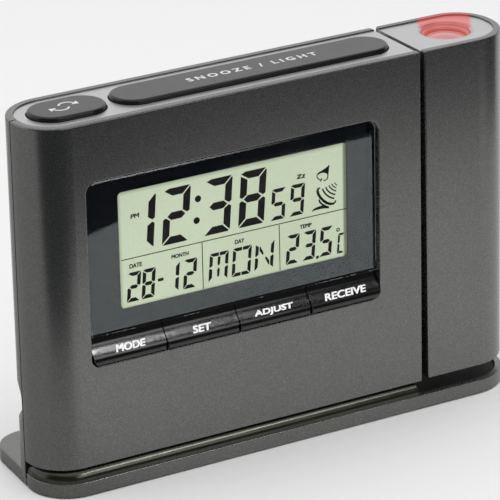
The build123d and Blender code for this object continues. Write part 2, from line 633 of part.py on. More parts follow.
with BuildPart() as battery_door:
    block(CELL_X - 28.5, CELL_X + 28.5, 5.45, BODY_REAR, 14.4, 45.8)
    fillet(battery_door.edges().filter_by(Axis.Y), 1.0)
    fillet(battery_door.edges().group_by(Axis.Y)[-1], 0.3)
    with Locations((CELL_X, BODY_REAR + 3.7, 48.0)):
        Sphere(5.2, mode=Mode.SUBTRACT)
    for k in range(4):
        block(CELL_X - 6.0, CELL_X + 6.0, BODY_REAR - 0.35, BODY_REAR + 1, 36.0 + 1.6 * k, 36.6 + 1.6 * k, mode=Mode.SUBTRACT)
battery_door.part.label = "battery_door"
export_step(battery_door.part, "parts/battery_door.step")

with BuildPart() as shell_screws:
    for x, z in SHELL_SCREWS:
        rod_y(x, 3.6, 5.3, z, 2.55)
        rod_y(x, BODY_FRONT + 5.0, 3.7, z, 1.12)
        block(x - 1.5, x + 1.5, 4.6, 6, z - 0.3, z + 0.3, mode=Mode.SUBTRACT)
        block(x - 0.3, x + 0.3, 4.6, 6, z - 1.5, z + 1.5, mode=Mode.SUBTRACT)
shell_screws.part.label = "shell_screws"
export_step(shell_screws.part, "parts/shell_screws.step")

with BuildPart() as base_screws:
    for i, (x, y) in enumerate(BASE_SCREWS):
        rod_z(x, y, BASE_BOTTOM + 0.05, BASE_BOTTOM + 0.8, 2.3)
        rod_z(x, y, BASE_BOTTOM + 0.8, 2.9 if i < 2 else 6.5, 1.05)
        block(x - 1.4, x + 1.4, y - 0.3, y + 0.3, 0, BASE_BOTTOM + 0.45, mode=Mode.SUBTRACT)
        block(x - 0.3, x + 0.3, y - 1.4, y + 1.4, 0, BASE_BOTTOM + 0.45, mode=Mode.SUBTRACT)
base_screws.part.label = "base_screws"
export_step(base_screws.part, "parts/base_screws.step")

# ---------------------------------------------------------------------------
# Keys
# ---------------------------------------------------------------------------
# The nose leans out from under the window and rounds over near its lower edge
NOSE = [
    (-15.3, 41.9),
    (-15.78, 39.8),
    (-16.2, 39.1),
    (-17.0, 38.1),
    (-17.8, 37.1),
    (-18.28, 36.2),
    (-18.4, 35.5),
    (-18.2, 34.8),
]
END_ROUND = 0.7            # rounding of the nose at each end of a key


def key_nose(x0, x1):
    with BuildSketch(Plane.YZ.offset(x0)) as side:
        with BuildLine():
            Spline(NOSE, tangents=[(-0.2, -0.98), (0.5, -0.86)])
            Polyline(NOSE[-1], (-17.9, 34.5), (-14.4, 34.5), (-14.4, 41.9), NOSE[0])
        make_face()
    extrude(side.sketch, amount=x1 - x0)
    # the nose falls back at both ends, seen from above as a rounded corner
    with BuildSketch(Plane.XY.offset(30)) as plan:
        with Locations(((x0 + x1) / 2, -16.0)):
            Rectangle(x1 - x0, 4.9)
        fillet(plan.vertices().group_by(Axis.Y)[0], END_ROUND)
    extrude(plan.sketch, amount=20, mode=Mode.INTERSECT)
    with BuildSketch(FRONT_PLANE.offset(3)) as face:
        add(KEYS)
    extrude(face.sketch, amount=-9, mode=Mode.INTERSECT)
    block(x0, x1, -15.3, -14.4, 32.9, 43.0)


def key_span(i):
    x0 = OPEN_LEFT + KEY_PITCH * i + (0.28 if i == 0 else KEY_GAP / 2)
    x1 = OPEN_LEFT + KEY_PITCH * (i + 1) - (0.28 if i == 3 else KEY_GAP / 2)
    return x0, x1


with BuildPart() as mode_button:
    key_nose(*key_span(0))
mode_button.part.label = "mode_button"
export_step(mode_button.part, "parts/mode_button.step")

with BuildPart() as set_button:
    key_nose(*key_span(1))
set_button.part.label = "set_button"
export_step(set_button.part, "parts/set_button.step")

with BuildPart() as adjust_button:
    key_nose(*key_span(2))
adjust_button.part.label = "adjust_button"
export_step(adjust_button.part, "parts/adjust_button.step")

with BuildPart() as receive_button:
    key_nose(*key_span(3))
receive_button.part.label = "receive_button"
export_step(receive_button.part, "parts/receive_button.step")

with BuildPart() as mode_plunger:
    rod_y(KEY_CENTRES[0], -14.4, -12.8, SWITCH_Z, 1.25)
mode_plunger.part.label = "mode_plunger"
export_step(mode_plunger.part, "parts/mode_plunger.step")

with BuildPart() as set_plunger:
    rod_y(KEY_CENTRES[1], -14.4, -12.8, SWITCH_Z, 1.25)
set_plunger.part.label = "set_plunger"
export_step(set_plunger.part, "parts/set_plunger.step")

with BuildPart() as adjust_plunger:
    rod_y(KEY_CENTRES[2], -14.4, -12.8, SWITCH_Z, 1.25)
adjust_plunger.part.label = "adjust_plunger"
export_step(adjust_plunger.part, "parts/adjust_plunger.step")

with BuildPart() as receive_plunger:
    rod_y(KEY_CENTRES[3], -14.4, -12.8, SWITCH_Z, 1.25)
receive_plunger.part.label = "receive_plunger"
export_step(receive_plunger.part, "parts/receive_plunger.step")

with BuildPart() as snooze_button:
    with BuildSketch(Plane.XY.offset(96.2)):
        with Locations((SNOOZE_X, TOP_KEYS_Y)):
            SlotOverall(SNOOZE_L, SNOOZE_W)
    extrude(amount=TOP_KEY_TOP - 96.2)
    fillet(snooze_button.edges().group_by(Axis.Z)[-1], 0.75)
    with BuildSketch(Plane.XY.offset(96.2)):
        with Locations((SNOOZE_X, TOP_KEYS_Y)):
            SlotOverall(SNOOZE_L + 2.0, SNOOZE_W + 2.0)
    extrude(amount=1.0)
    with BuildSketch(Plane.XY.offset(96.0)):
        with Locations((SNOOZE_X, TOP_KEYS_Y)):
            SlotOverall(SNOOZE_L - 3.0, SNOOZE_W - 3.0)
    extrude(amount=2.7, mode=Mode.SUBTRACT)
    for x in SNOOZE_SWITCH_X:
        rod_z(x, TOP_KEYS_Y, 95.2, 99.0, 2.2)
snooze_button.part.label = "snooze_button"
export_step(snooze_button.part, "parts/snooze_button.step")

with BuildPart() as snooze_plungers:
    for x in SNOOZE_SWITCH_X:
        rod_z(x, TOP_KEYS_Y, 92.0, 95.2, 1.25)
snooze_plungers.part.label = "snooze_plungers"
export_step(snooze_plungers.part, "parts/snooze_plungers.step")

with BuildPart() as flip_button:
    with BuildSketch(Plane.XY.offset(96.2)):
        with Locations((FLIP_X, TOP_KEYS_Y)):
            SlotOverall(FLIP_L, FLIP_W)
    extrude(amount=TOP_KEY_TOP - 96.2)
    fillet(flip_button.edges().group_by(Axis.Z)[-1], 0.75)
    with BuildSketch(Plane.XY.offset(96.2)):
        with Locations((FLIP_X, TOP_KEYS_Y)):
            SlotOverall(FLIP_L + 1.4, FLIP_W + 1.8)
    extrude(amount=1.0)
    with BuildSketch(Plane.XY.offset(96.0)):
        with Locations((FLIP_X, TOP_KEYS_Y)):
            SlotOverall(FLIP_L - 3.0, FLIP_W - 3.0)
    extrude(amount=2.7, mode=Mode.SUBTRACT)
    rod_z(FLIP_SWITCH_X, TOP_KEYS_Y, 95.2, 99.0, 2.2)
flip_button.part.label = "flip_button"
export_step(flip_button.part, "parts/flip_button.step")

with BuildPart() as flip_plunger:
    rod_z(FLIP_SWITCH_X, TOP_KEYS_Y, 92.0, 95.2, 1.25)
flip_plunger.part.label = "flip_plunger"
export_step(flip_plunger.part, "parts/flip_plunger.step")

# ---------------------------------------------------------------------------
# Pivot of the projector arm
# ---------------------------------------------------------------------------
with BuildPart() as pivot_bush:
    rod_x(37.9, 41.2, BODY_MID, PIVOT_Z, 9.5)
    rod_x(37.9, 39.2, BODY_MID, PIVOT_Z, 10.1)
    rod_x(37, 42, BODY_MID, PIVOT_Z, PIVOT_R + 0.06, mode=Mode.SUBTRACT)
pivot_bush.part.label = "pivot_bush"
export_step(pivot_bush.part, "parts/pivot_bush.step")

with BuildPart() as pivot_spring:
    rod_x(37.2, 37.9, BODY_MID, PIVOT_Z, 9.3)
    rod_x(37, 38, BODY_MID, PIVOT_Z, PIVOT_R + 0.15, mode=Mode.SUBTRACT)
pivot_spring.part.label = "pivot_spring"
export_step(pivot_spring.part, "parts/pivot_spring.step")

with BuildPart() as pivot_clip:
    rod_x(35.9, 37.1, BODY_MID, PIVOT_Z, 9.5)
    rod_x(35, 38, BODY_MID, PIVOT_Z, PIVOT_R + 0.02, mode=Mode.SUBTRACT)
    block(35, 38, BODY_MID - 2.5, BODY_MID + 2.5, PIVOT_Z - 12, PIVOT_Z, mode=Mode.SUBTRACT)
pivot_clip.part.label = "pivot_clip"
export_step(pivot_clip.part, "parts/pivot_clip.step")


def flat_x(z):
    # the arm's flat side leans away from the body towards the bottom
    return ARM_FLAT_TOP + (ARM_TOP - z) / (ARM_TOP - ARM_BOTTOM) * (ARM_FLAT_LOW - ARM_FLAT_TOP)


ARM_SCREWS = [(-13.3, 15.5), (2.5, 15.5), (-13.3, 91.5), (2.5, 91.5)]

# ---------------------------------------------------------------------------
# Projector arm
# ---------------------------------------------------------------------------
with BuildPart() as arm_shell:
    # one-piece sleeve: flat front and back, rounded right end, open on the flat side
    with BuildSketch(Plane.XY.offset(ARM_BOTTOM)):
        add(ARM_0)
    extrude(amount=ARM_TOP - ARM_BOTTOM)
    with BuildSketch(Plane.XZ.offset(60)):
        with BuildLine():
            Polyline(
                (30, 0), (flat_x(0), 0), (flat_x(110), 110), (30, 110), (30, 0)
            )
        make_face()
    extrude(amount=-120, mode=Mode.SUBTRACT)
    fillet(
        arm_shell.edges().filter_by_position(Axis.X, ARM_FLAT_TOP - 0.1, ARM_FLAT_LOW + 0.1)
        .sort_by(Axis.Y)[0],
        0.4,
    )
    fillet(
        arm_shell.edges().filter_by_position(Axis.X, ARM_FLAT_TOP - 0.1, ARM_FLAT_LOW + 0.1)
        .sort_by(Axis.Y)[-1],
        1.0,
    )
    round_top = (
        arm_shell.edges().filter_by_position(Axis.Z, ARM_TOP - 0.01, ARM_TOP + 0.01)
        .filter_by_position(Axis.X, ARM_FLAT_TOP + 0.5, 100)
    )
    fillet(round_top, 0.5)
    round_low = (
        arm_shell.edges().filter_by_position(Axis.Z, ARM_BOTTOM - 0.01, ARM_BOTTOM + 0.01)
        .filter_by_position(Axis.X, ARM_FLAT_LOW + 0.5, 100)
    )
    fillet(round_low, 0.6)
    with BuildSketch(Plane.XY.offset(ARM_BOTTOM + ARM_WALL)):
        add(ARM_IN)
    extrude(amount=120, mode=Mode.SUBTRACT)
    # ledge under the silver plate
    with BuildSketch(Plane.XY.offset(PLATE_LOW - 1.5)):
        add(ARM_IN)
        add(ARM_LEDGE, mode=Mode.SUBTRACT)
        clip(45, 100, -60, 60)
    extrude(amount=1.5)
    # screw bosses for the side plate
    for y, z in ARM_SCREWS:
        wall = BODY_MID - ARM_R + 0.6 if y < BODY_MID else BODY_MID + ARM_R - 0.6
        rod_x(flat_x(z) + 1.75, 51.0, y, z, 2.1)
        block(flat_x(z) + 1.75, 51.0, min(y, wall), max(y, wall), z - 2.1, z + 2.1)
        rod_x(flat_x(z) + 1, 50.0, y, z, 0.82, mode=Mode.SUBTRACT)
    # shallow seat and shaft hole of the focus knob
    rod_y(LENS_X, BODY_REAR - 0.6, BODY_REAR + 2, FOCUS_Z, 7.1, mode=Mode.SUBTRACT)
    rod_y(LENS_X, 3.0, BODY_REAR + 2, FOCUS_Z, 2.16, mode=Mode.SUBTRACT)
arm_shell.part.label = "arm_shell"
export_step(arm_shell.part, "parts/arm_shell.step")

with BuildPart() as arm_side_plate:
    with BuildSketch(Plane.XZ.offset(-(BODY_MID - ARM_R + ARM_WALL + 0.08))):
        with BuildLine():
            low, high = ARM_BOTTOM + ARM_WALL + 0.08, PLATE_LOW - 0.08
            Polyline(
                (flat_x(low), low),
                (flat_x(high), high),
                (flat_x(high) + 1.6, high),
                (flat_x(low) + 1.6, low),
                (flat_x(low), low),
            )
        make_face()
    extrude(amount=-2 * (ARM_R - ARM_WALL - 0.08))
    # thrust collar and the hollow pivot that reaches into the body
    rod_x(41.3, 43.5, BODY_MID, PIVOT_Z, 9.0)
    rod_x(35.5, 44.5, BODY_MID, PIVOT_Z, PIVOT_R)
    rod_x(30, 50, BODY_MID, PIVOT_Z, 5.5, mode=Mode.SUBTRACT)
    for y, z in ARM_SCREWS:
        rod_x(40, 50, y, z, 1.1, mode=Mode.SUBTRACT)
        rod_x(40, flat_x(z) + 0.9, y, z, 1.9, mode=Mode.SUBTRACT)
arm_side_plate.part.label = "arm_side_plate"
export_step(arm_side_plate.part, "parts/arm_side_plate.step")

with BuildPart() as arm_screws:
    for y, z in ARM_SCREWS:
        rod_x(flat_x(z) + 0.15, flat_x(z) + 0.9, y, z, 1.8)
        rod_x(flat_x(z) + 0.8, 49.0, y, z, 0.78)
arm_screws.part.label = "arm_screws"
export_step(arm_screws.part, "parts/arm_screws.step")

with BuildPart() as arm_top_plate:
    with BuildSketch(Plane.XY.offset(PLATE_LOW)):
        add(ARM_PLATE)
        with Locations((LENS_X, LENS_Y)):
            Circle(HOLE_R, mode=Mode.SUBTRACT)
    extrude(amount=PLATE_T)
    chamfer(
        arm_top_plate.edges().filter_by(GeomType.CIRCLE).group_by(Axis.Z)[-1].sort_by(SortBy.RADIUS)[0],
        0.35,
    )
arm_top_plate.part.label = "arm_top_plate"
export_step(arm_top_plate.part, "parts/arm_top_plate.step")

# ---------------------------------------------------------------------------
# Projector optics, stacked on one vertical axis
# ---------------------------------------------------------------------------
OPTIC_AXIS = Axis((LENS_X, LENS_Y, 0), (0, 0, 1))
OPTIC_PLANE = Plane(origin=(LENS_X, LENS_Y, 0), x_dir=(1, 0, 0), z_dir=(0, -1, 0))

with BuildPart() as optics_tube:
    rod_z(LENS_X, LENS_Y, 53.25, 95.2, 7.6)
    block(52.0, 62.4, -13.8, 3.0, 93.7, 95.2)
    rod_z(LENS_X, LENS_Y, 53, 96, 6.4, mode=Mode.SUBTRACT)
    rod_y(LENS_X, BODY_MID + 3, 5, FOCUS_Z, 2.5, mode=Mode.SUBTRACT)
optics_tube.part.label = "optics_tube"
export_step(optics_tube.part, "parts/optics_tube.step")

with BuildPart() as lens_barrel:
    with BuildSketch(OPTIC_PLANE):
        with BuildLine():
            Polyline(
                (5.2, 80.5), (6.3, 80.5), (6.3, 98.1), (6.15, 98.3), (5.6, 97.6), (5.6, 96.4), (5.2, 96.4), (5.2, 80.5)
            )
        make_face()
    revolve(axis=OPTIC_AXIS)
    # cross slot that the focus pin works in
    block(LENS_X - 2.4, LENS_X + 2.4, BODY_MID + 4.5, BODY_MID + 8, FOCUS_Z - 0.9, FOCUS_Z + 0.9, mode=Mode.SUBTRACT)
lens_barrel.part.label = "lens_barrel"
export_step(lens_barrel.part, "parts/lens_barrel.step")

with BuildPart() as projection_lens:
    rod_z(LENS_X, LENS_Y, 96.42, 99.0, 5.55)
    with Locations((LENS_X, LENS_Y, 81.27)):
        Sphere(16.68, mode=Mode.INTERSECT)
projection_lens.part.label = "projection_lens"
export_step(projection_lens.part, "parts/projection_lens.step")

with BuildPart() as projector_lcd:
    rod_z(LENS_X, LENS_Y, 70.0, 71.2, 6.38)
projector_lcd.part.label = "projector_lcd"
export_step(projector_lcd.part, "parts/projector_lcd.step")

with BuildPart() as condenser_lens:
    rod_z(LENS_X, LENS_Y, 62.6, 67.5, 6.38)
    with Locations((LENS_X, LENS_Y, 59.3)):
        Sphere(7.6, mode=Mode.INTERSECT)
condenser_lens.part.label = "condenser_lens"
export_step(condenser_lens.part, "parts/condenser_lens.step")

with BuildPart() as projector_led:
    rod_z(LENS_X, LENS_Y, 53.2, 54.2, 2.9)
    rod_z(LENS_X, LENS_Y, 54.2, 58.4, 2.5)
    with Locations((LENS_X, LENS_Y, 58.4)):
        Sphere(2.5)
projector_led.part.label = "projector_led"
export_step(projector_led.part, "parts/projector_led.step")

with BuildPart() as projector_board:
    rod_z(LENS_X, LENS_Y, 51.6, 53.2, 8.6)
projector_board.part.label = "projector_board"
export_step(projector_board.part, "parts/projector_board.step")

with BuildPart() as focus_knob:
    # knurled disc on the back, with the off-centre pin that lifts the lens barrel
    rod_y(LENS_X, BODY_REAR - 0.5, BODY_REAR + 1.7, FOCUS_Z, 6.8)
    fillet(focus_knob.edges().group_by(Axis.Y)[-1], 0.5)
    for k in range(24):
        turn = math.radians(15 * k)
        rod_y(
            LENS_X + 7.1 * math.cos(turn), BODY_REAR + 0.1, BODY_REAR + 3, FOCUS_Z + 7.1 * math.sin(turn), 0.6,
            mode=Mode.SUBTRACT,
        )
    block(LENS_X - 4.6, LENS_X + 4.6, BODY_REAR + 1.2, BODY_REAR + 3, FOCUS_Z - 0.5, FOCUS_Z + 0.5, mode=Mode.SUBTRACT)
    rod_y(LENS_X, 2.7, BODY_REAR - 0.4, FOCUS_Z, 2.1)
    rod_y(LENS_X + FOCUS_E, 0.05, 2.8, FOCUS_Z, 0.8)
focus_knob.part.label = "focus_knob"
export_step(focus_knob.part, "parts/focus_knob.step")

with BuildPart() as projector_lead:
    # flat lead from the circuit board, along the pivot's axis into the arm
    with BuildLine() as route:
        FilletPolyline((46.4, BODY_MID, PIVOT_Z), (25.0, BODY_MID, PIVOT_Z), (25.0, PCB_REAR, PIVOT_Z), radius=3.6)
    with BuildSketch(Plane(origin=(46.4, BODY_MID, PIVOT_Z), x_dir=(0, 1, 0), z_dir=(-1, 0, 0))):
        Circle(1.0)
    sweep()
projector_lead.part.label = "projector_lead"
export_step(projector_lead.part, "parts/projector_lead.step")
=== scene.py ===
import math

import bmesh
import bpy
from mathutils import Matrix, Vector
from mathutils.bvhtree import BVHTree


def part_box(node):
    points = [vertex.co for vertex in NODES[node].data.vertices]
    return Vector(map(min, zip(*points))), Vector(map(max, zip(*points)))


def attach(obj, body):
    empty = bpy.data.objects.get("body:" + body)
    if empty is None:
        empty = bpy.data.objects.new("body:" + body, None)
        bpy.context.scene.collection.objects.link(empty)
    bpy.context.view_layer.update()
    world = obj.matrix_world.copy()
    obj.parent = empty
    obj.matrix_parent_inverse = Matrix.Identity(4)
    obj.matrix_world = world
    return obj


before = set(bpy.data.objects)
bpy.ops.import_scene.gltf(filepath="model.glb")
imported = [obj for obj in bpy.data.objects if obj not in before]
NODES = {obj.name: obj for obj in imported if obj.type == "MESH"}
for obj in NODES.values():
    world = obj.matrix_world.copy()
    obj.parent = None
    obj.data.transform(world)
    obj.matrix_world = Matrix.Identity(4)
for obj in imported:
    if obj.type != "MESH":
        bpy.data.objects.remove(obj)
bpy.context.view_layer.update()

MM = 0.001
scene = bpy.context.scene
scene.view_settings.view_transform = "Standard"
scene.view_settings.look = "None"

# ---------------------------------------------------------------------------
# Camera
# ---------------------------------------------------------------------------
azimuth, elevation, roll = math.radians(-29.79), math.radians(21.72), math.radians(-1.27)
cam_place = Vector((-471.6, -825.2, 427.2)) * MM
back = Vector((math.sin(azimuth) * math.cos(elevation), -math.cos(azimuth) * math.cos(elevation), math.sin(elevation)))
forward = -back
right = forward.cross(Vector((0, 0, 1))).normalized()
up = right.cross(forward)
cam_right = right * math.cos(roll) + up * math.sin(roll)
cam_up = up * math.cos(roll) - right * math.sin(roll)
cam_data = bpy.data.cameras.new("camera")
cam_data.sensor_width = 36
cam_data.sensor_fit = "HORIZONTAL"
cam_data.lens = 283.118
cam_data.shift_x = -0.01068
cam_data.shift_y = -0.00594
cam_data.clip_start = 0.01
cam_data.clip_end = 60
camera = bpy.data.objects.new("camera", cam_data)
scene.collection.objects.link(camera)
camera.matrix_world = Matrix(
    (
        (cam_right.x, cam_up.x, back.x, cam_place.x),
        (cam_right.y, cam_up.y, back.y, cam_place.y),
        (cam_right.z, cam_up.z, back.z, cam_place.z),
        (0, 0, 0, 1),
    )
)
scene.camera = camera


# ---------------------------------------------------------------------------
# Node helpers
# ---------------------------------------------------------------------------
def lin(*rgb):
    """A display colour, 0 to 255, as the linear colour that the shaders take."""
    out = []
    for v in rgb:
        v = v / 255
        out.append(v / 12.92 if v <= 0.04045 else ((v + 0.055) / 1.055) ** 2.4)
    return tuple(out) if len(out) > 1 else (out[0],) * 3


def rgba(color):
    return (color[0], color[1], color[2], 1.0)


class Graph:
    """One material and short ways to add nodes to it."""

    def __init__(self, name):
        self.mat = bpy.data.materials.new(name)
        self.mat.use_nodes = True
        self.nt = self.mat.node_tree
        self.nt.nodes.clear()
        self.out = self.nt.nodes.new("ShaderNodeOutputMaterial")
        self.tex = self.nt.nodes.new("ShaderNodeTexCoord")
        self.place = self.tex.outputs["Object"]

    def link(self, a, b):
        self.nt.links.new(a, b)

    def put(self, socket, value):
        if isinstance(value, bpy.types.NodeSocket):
            self.link(value, socket)
        else:
            socket.default_value = value

    def math(self, op, a, b=0.0, c=None, clamp=False):
        n = self.nt.nodes.new("ShaderNodeMath")
        n.operation = op
        n.use_clamp = clamp
        self.put(n.inputs[0], a)
        self.put(n.inputs[1], b)
        if c is not None:
            self.put(n.inputs[2], c)
        return n.outputs[0]

    def remap(self, v, a, b, c, d, smooth=False):
        n = self.nt.nodes.new("ShaderNodeMapRange")
        n.interpolation_type = "SMOOTHSTEP" if smooth else "LINEAR"
        n.clamp = True
        self.put(n.inputs["Value"], v)
        for key, val in zip(("From Min", "From Max", "To Min", "To Max"), (a, b, c, d)):
            self.put(n.inputs[key], val)
        return n.outputs["Result"]

    def xyz(self, vector=None):
        n = self.nt.nodes.new("ShaderNodeSeparateXYZ")
        self.link(vector or self.place, n.inputs[0])
        return n.outputs

    def noise(self, scale, detail=2.0, rough=0.5, vector=None, stretch=None, distortion=0.0):
        n = self.nt.nodes.new("ShaderNodeTexNoise")
        n.inputs["Scale"].default_value = scale
        n.inputs["Detail"].default_value = detail
        n.inputs["Roughness"].default_value = rough
        n.inputs["Distortion"].default_value = distortion
        v = vector or self.place
        if stretch:
            m = self.nt.nodes.new("ShaderNodeMapping")
            m.inputs["Scale"].default_value = stretch
            self.link(v, m.inputs["Vector"])
            v = m.outputs[0]
        self.link(v, n.inputs["Vector"])
        return n.outputs["Fac"]

    def cells(self, scale):
        n = self.nt.nodes.new("ShaderNodeTexVoronoi")
        n.inputs["Scale"].default_value = scale
        self.link(self.place, n.inputs["Vector"])
        s = self.nt.nodes.new("ShaderNodeSeparateColor")
        self.link(n.outputs["Color"], s.inputs[0])
        return s.outputs, n.outputs["Distance"]

    def ramp(self, fac, stops, mode="LINEAR"):
        n = self.nt.nodes.new("ShaderNodeValToRGB")
        n.color_ramp.interpolation = mode
        els = n.color_ramp.elements
        while len(els) < len(stops):
            els.new(0.5)
        for e, (p, c) in zip(els, stops):
            e.position = p
            e.color = rgba(c)
        self.put(n.inputs["Fac"], fac)
        return n.outputs["Color"]

    def mix(self, fac, a, b, blend="MIX"):
        n = self.nt.nodes.new("ShaderNodeMix")
        n.data_type = "RGBA"
        n.blend_type = blend
        self.put(n.inputs[0], fac)
        for s, v in ((n.inputs[6], a), (n.inputs[7], b)):
            self.put(s, v if isinstance(v, bpy.types.NodeSocket) else rgba(v))
        return n.outputs[2]

    def bump(self, height, strength, distance, normal=None):
        n = self.nt.nodes.new("ShaderNodeBump")
        n.inputs["Strength"].default_value = strength
        n.inputs["Distance"].default_value = distance
        self.link(height, n.inputs["Height"])
        if normal:
            self.link(normal, n.inputs["Normal"])
        return n.outputs["Normal"]

    def principled(self, color, rough, metallic=0.0, normal=None, ior=1.5, coat=0.0, coat_rough=0.1, specular=0.5,
                   emission=None, strength=1.0, alpha=None):
        n = self.nt.nodes.new("ShaderNodeBsdfPrincipled")
        self.put(n.inputs["Base Color"], color if isinstance(color, bpy.types.NodeSocket) else rgba(color))
        self.put(n.inputs["Roughness"], rough)
        self.put(n.inputs["Metallic"], metallic)
        n.inputs["IOR"].default_value = ior
        n.inputs["Specular IOR Level"].default_value = specular
        n.inputs["Coat Weight"].default_value = coat
        n.inputs["Coat Roughness"].default_value = coat_rough
        if normal:
            self.link(normal, n.inputs["Normal"])
        if emission is not None:
            self.put(n.inputs["Emission Color"], emission if isinstance(emission, bpy.types.NodeSocket) else rgba(emission))
            n.inputs["Emission Strength"].default_value = strength
        if alpha is not None:
            self.put(n.inputs["Alpha"], alpha)
        return n

    def done(self, shader):
        self.link(shader.outputs[0] if hasattr(shader, "outputs") else shader, self.out.inputs["Surface"])
        return self.mat


def scaled(color, k):
    return tuple(min(1.0, c * k) for c in color)


def moulded(name, color, rough, vary=0.10, grain=1400.0, bump_mm=0.004, strength=0.25, metallic=0.0, broad=60.0,
            rough_vary=0.12, specular=0.5, coat=0.0, coat_rough=0.1, dust=None):
    """Moulded or finished surface: slow and fine colour variation, uneven gloss and a fine texture."""
    g = Graph(name)
    slow = g.noise(broad, 3.0, 0.55)
    fine = g.noise(grain, 2.0, 0.6)
    both = g.math("ADD", g.math("MULTIPLY", slow, 0.6), g.math("MULTIPLY", fine, 0.4))
    col = g.ramp(both, [(0.3, scaled(color, 1 - vary)), (0.7, scaled(color, 1 + vary))])
    if dust:
        specks = g.remap(g.noise(grain * 1.7, 1.0, 0.5), 0.74, 0.8, 0.0, dust[1])
        col = g.mix(specks, col, dust[0])
    r = g.remap(g.noise(broad * 2.3, 4.0, 0.6), 0.3, 0.7, rough * (1 - rough_vary), min(1.0, rough * (1 + rough_vary)))
    n = g.bump(fine, strength, bump_mm * MM)
    return g.done(g.principled(col, r, metallic, n, specular=specular, coat=coat, coat_rough=coat_rough))


def flake_layer(g, base, spread, cell_mm, rough, spark, bump):
    """Colour, roughness and normal of fine metal flakes, each with its own shade and tilt, with a slow waviness in the
    normal.
    """
    rnd, dist = g.cells(1000.0 / cell_mm)
    fine, _ = g.cells(1000.0 / (cell_mm * 0.55))
    slow = g.noise(38.0, 3.0, 0.5)
    a = g.ramp(rnd[0], [(0.0, scaled(base, 1 - spread)), (0.92, scaled(base, 1 + spread)),
                        (1.0, scaled(base, 1 + spread + spark))])
    b = g.ramp(fine[1], [(0.0, scaled(base, 1 - spread)), (1.0, scaled(base, 1 + spread))])
    col = g.mix(0.45, a, b)
    shade = g.remap(slow, 0.3, 0.7, 0.975, 1.025)
    comb = g.nt.nodes.new("ShaderNodeVectorMath")
    comb.operation = "SCALE"
    g.link(col, comb.inputs[0])
    g.link(shade, comb.inputs["Scale"])
    r = g.remap(rnd[1], 0.0, 1.0, rough * 0.9, rough * 1.1)
    wave = g.noise(700.0, 2.0, 0.5)
    h = g.math("ADD", g.math("MULTIPLY", rnd[2], 0.5), g.math("MULTIPLY", wave, 0.8))
    return comb.outputs[0], r, g.bump(h, bump, 0.010 * MM)


def flake_paint(name, base, spread, cell_mm, metallic, rough, spark=0.3, bump=0.08):
    g = Graph(name)
    col, r, n = flake_layer(g, base, spread, cell_mm, rough, spark, bump)
    return g.done(g.principled(col, r, metallic, n))


# ---------------------------------------------------------------------------
# Materials
# ---------------------------------------------------------------------------
paint = flake_paint("grey_flake_paint", lin(113, 113, 111.5), 0.22, 0.22, 0.90, 0.26, spark=0.4, bump=0.04)
silver = flake_paint("silver_flake_paint", lin(186, 186, 187), 0.10, 0.17, 0.80, 0.34, spark=0.15, bump=0.06)
black_gloss = moulded("black_gloss_key", lin(17), 0.20, vary=0.15, grain=800.0, bump_mm=0.001, strength=0.06,
                      rough_vary=0.2, specular=0.43, dust=(lin(70), 0.2))
black_key = moulded("black_front_key", lin(13), 0.15, vary=0.15, grain=900.0, bump_mm=0.001, strength=0.05,
                    rough_vary=0.12, specular=0.6, dust=(lin(60), 0.2))
black_plastic = moulded("black_moulding", lin(26), 0.55, vary=0.18, grain=1500.0, bump_mm=0.01, strength=0.4)
white_plastic = moulded("white_moulding", lin(226, 226, 222), 0.42, vary=0.04, grain=1200.0)
rubber = moulded("rubber", lin(30, 30, 31), 0.78, vary=0.2, grain=2200.0, bump_mm=0.02, strength=0.5)
steel = moulded("zinc_steel", lin(190, 192, 196), 0.30, vary=0.10, grain=2400.0, bump_mm=0.006, strength=0.3, metallic=1.0)
nickel = moulded("nickel_wire", lin(200, 198, 192), 0.22, vary=0.06, grain=2400.0, bump_mm=0.004, strength=0.25, metallic=1.0)
ferrite = moulded("sintered_ferrite", lin(52, 51, 54), 0.62, vary=0.2, grain=2600.0, bump_mm=0.02, strength=0.5, metallic=0.15)
led_red = moulded("red_epoxy", lin(190, 24, 20), 0.12, vary=0.08, grain=700.0)


def mask_material():
    """Black border printed on the back of the polished window, which makes it mirror the room."""
    g = Graph("black_border_behind_window")
    slow = g.noise(60.0, 3.0, 0.5)
    col = g.ramp(slow, [(0.3, (0.0040, 0.0045, 0.0050)), (0.7, (0.0058, 0.0064, 0.0070))])
    r = g.remap(g.noise(120.0, 4.0, 0.6), 0.3, 0.7, 0.015, 0.04)
    n = g.bump(g.noise(26.0, 1.0, 0.4), 0.05, 0.05 * MM)
    shader = g.principled(col, r, 0.0, n, ior=1.85)
    shader.inputs["Specular Tint"].default_value = (0.90, 0.98, 1.0, 1.0)
    return g.done(shader)


def trim_material():
    """Strip with a polished grey metal face, finely brushed along its length."""
    g = Graph("polished_strip")
    x, y, z = g.xyz()
    long = g.noise(900.0, 3.0, 0.6, stretch=(0.05, 0.05, 1.0))
    col = g.ramp(long, [(0.3, lin(66, 66, 60)), (0.7, lin(78, 78, 71))])
    r = g.remap(g.noise(160.0, 3.0, 0.5), 0.3, 0.7, 0.17, 0.25)
    n = g.bump(long, 0.12, 0.006 * MM)
    return g.done(g.principled(col, r, 0.90, n))


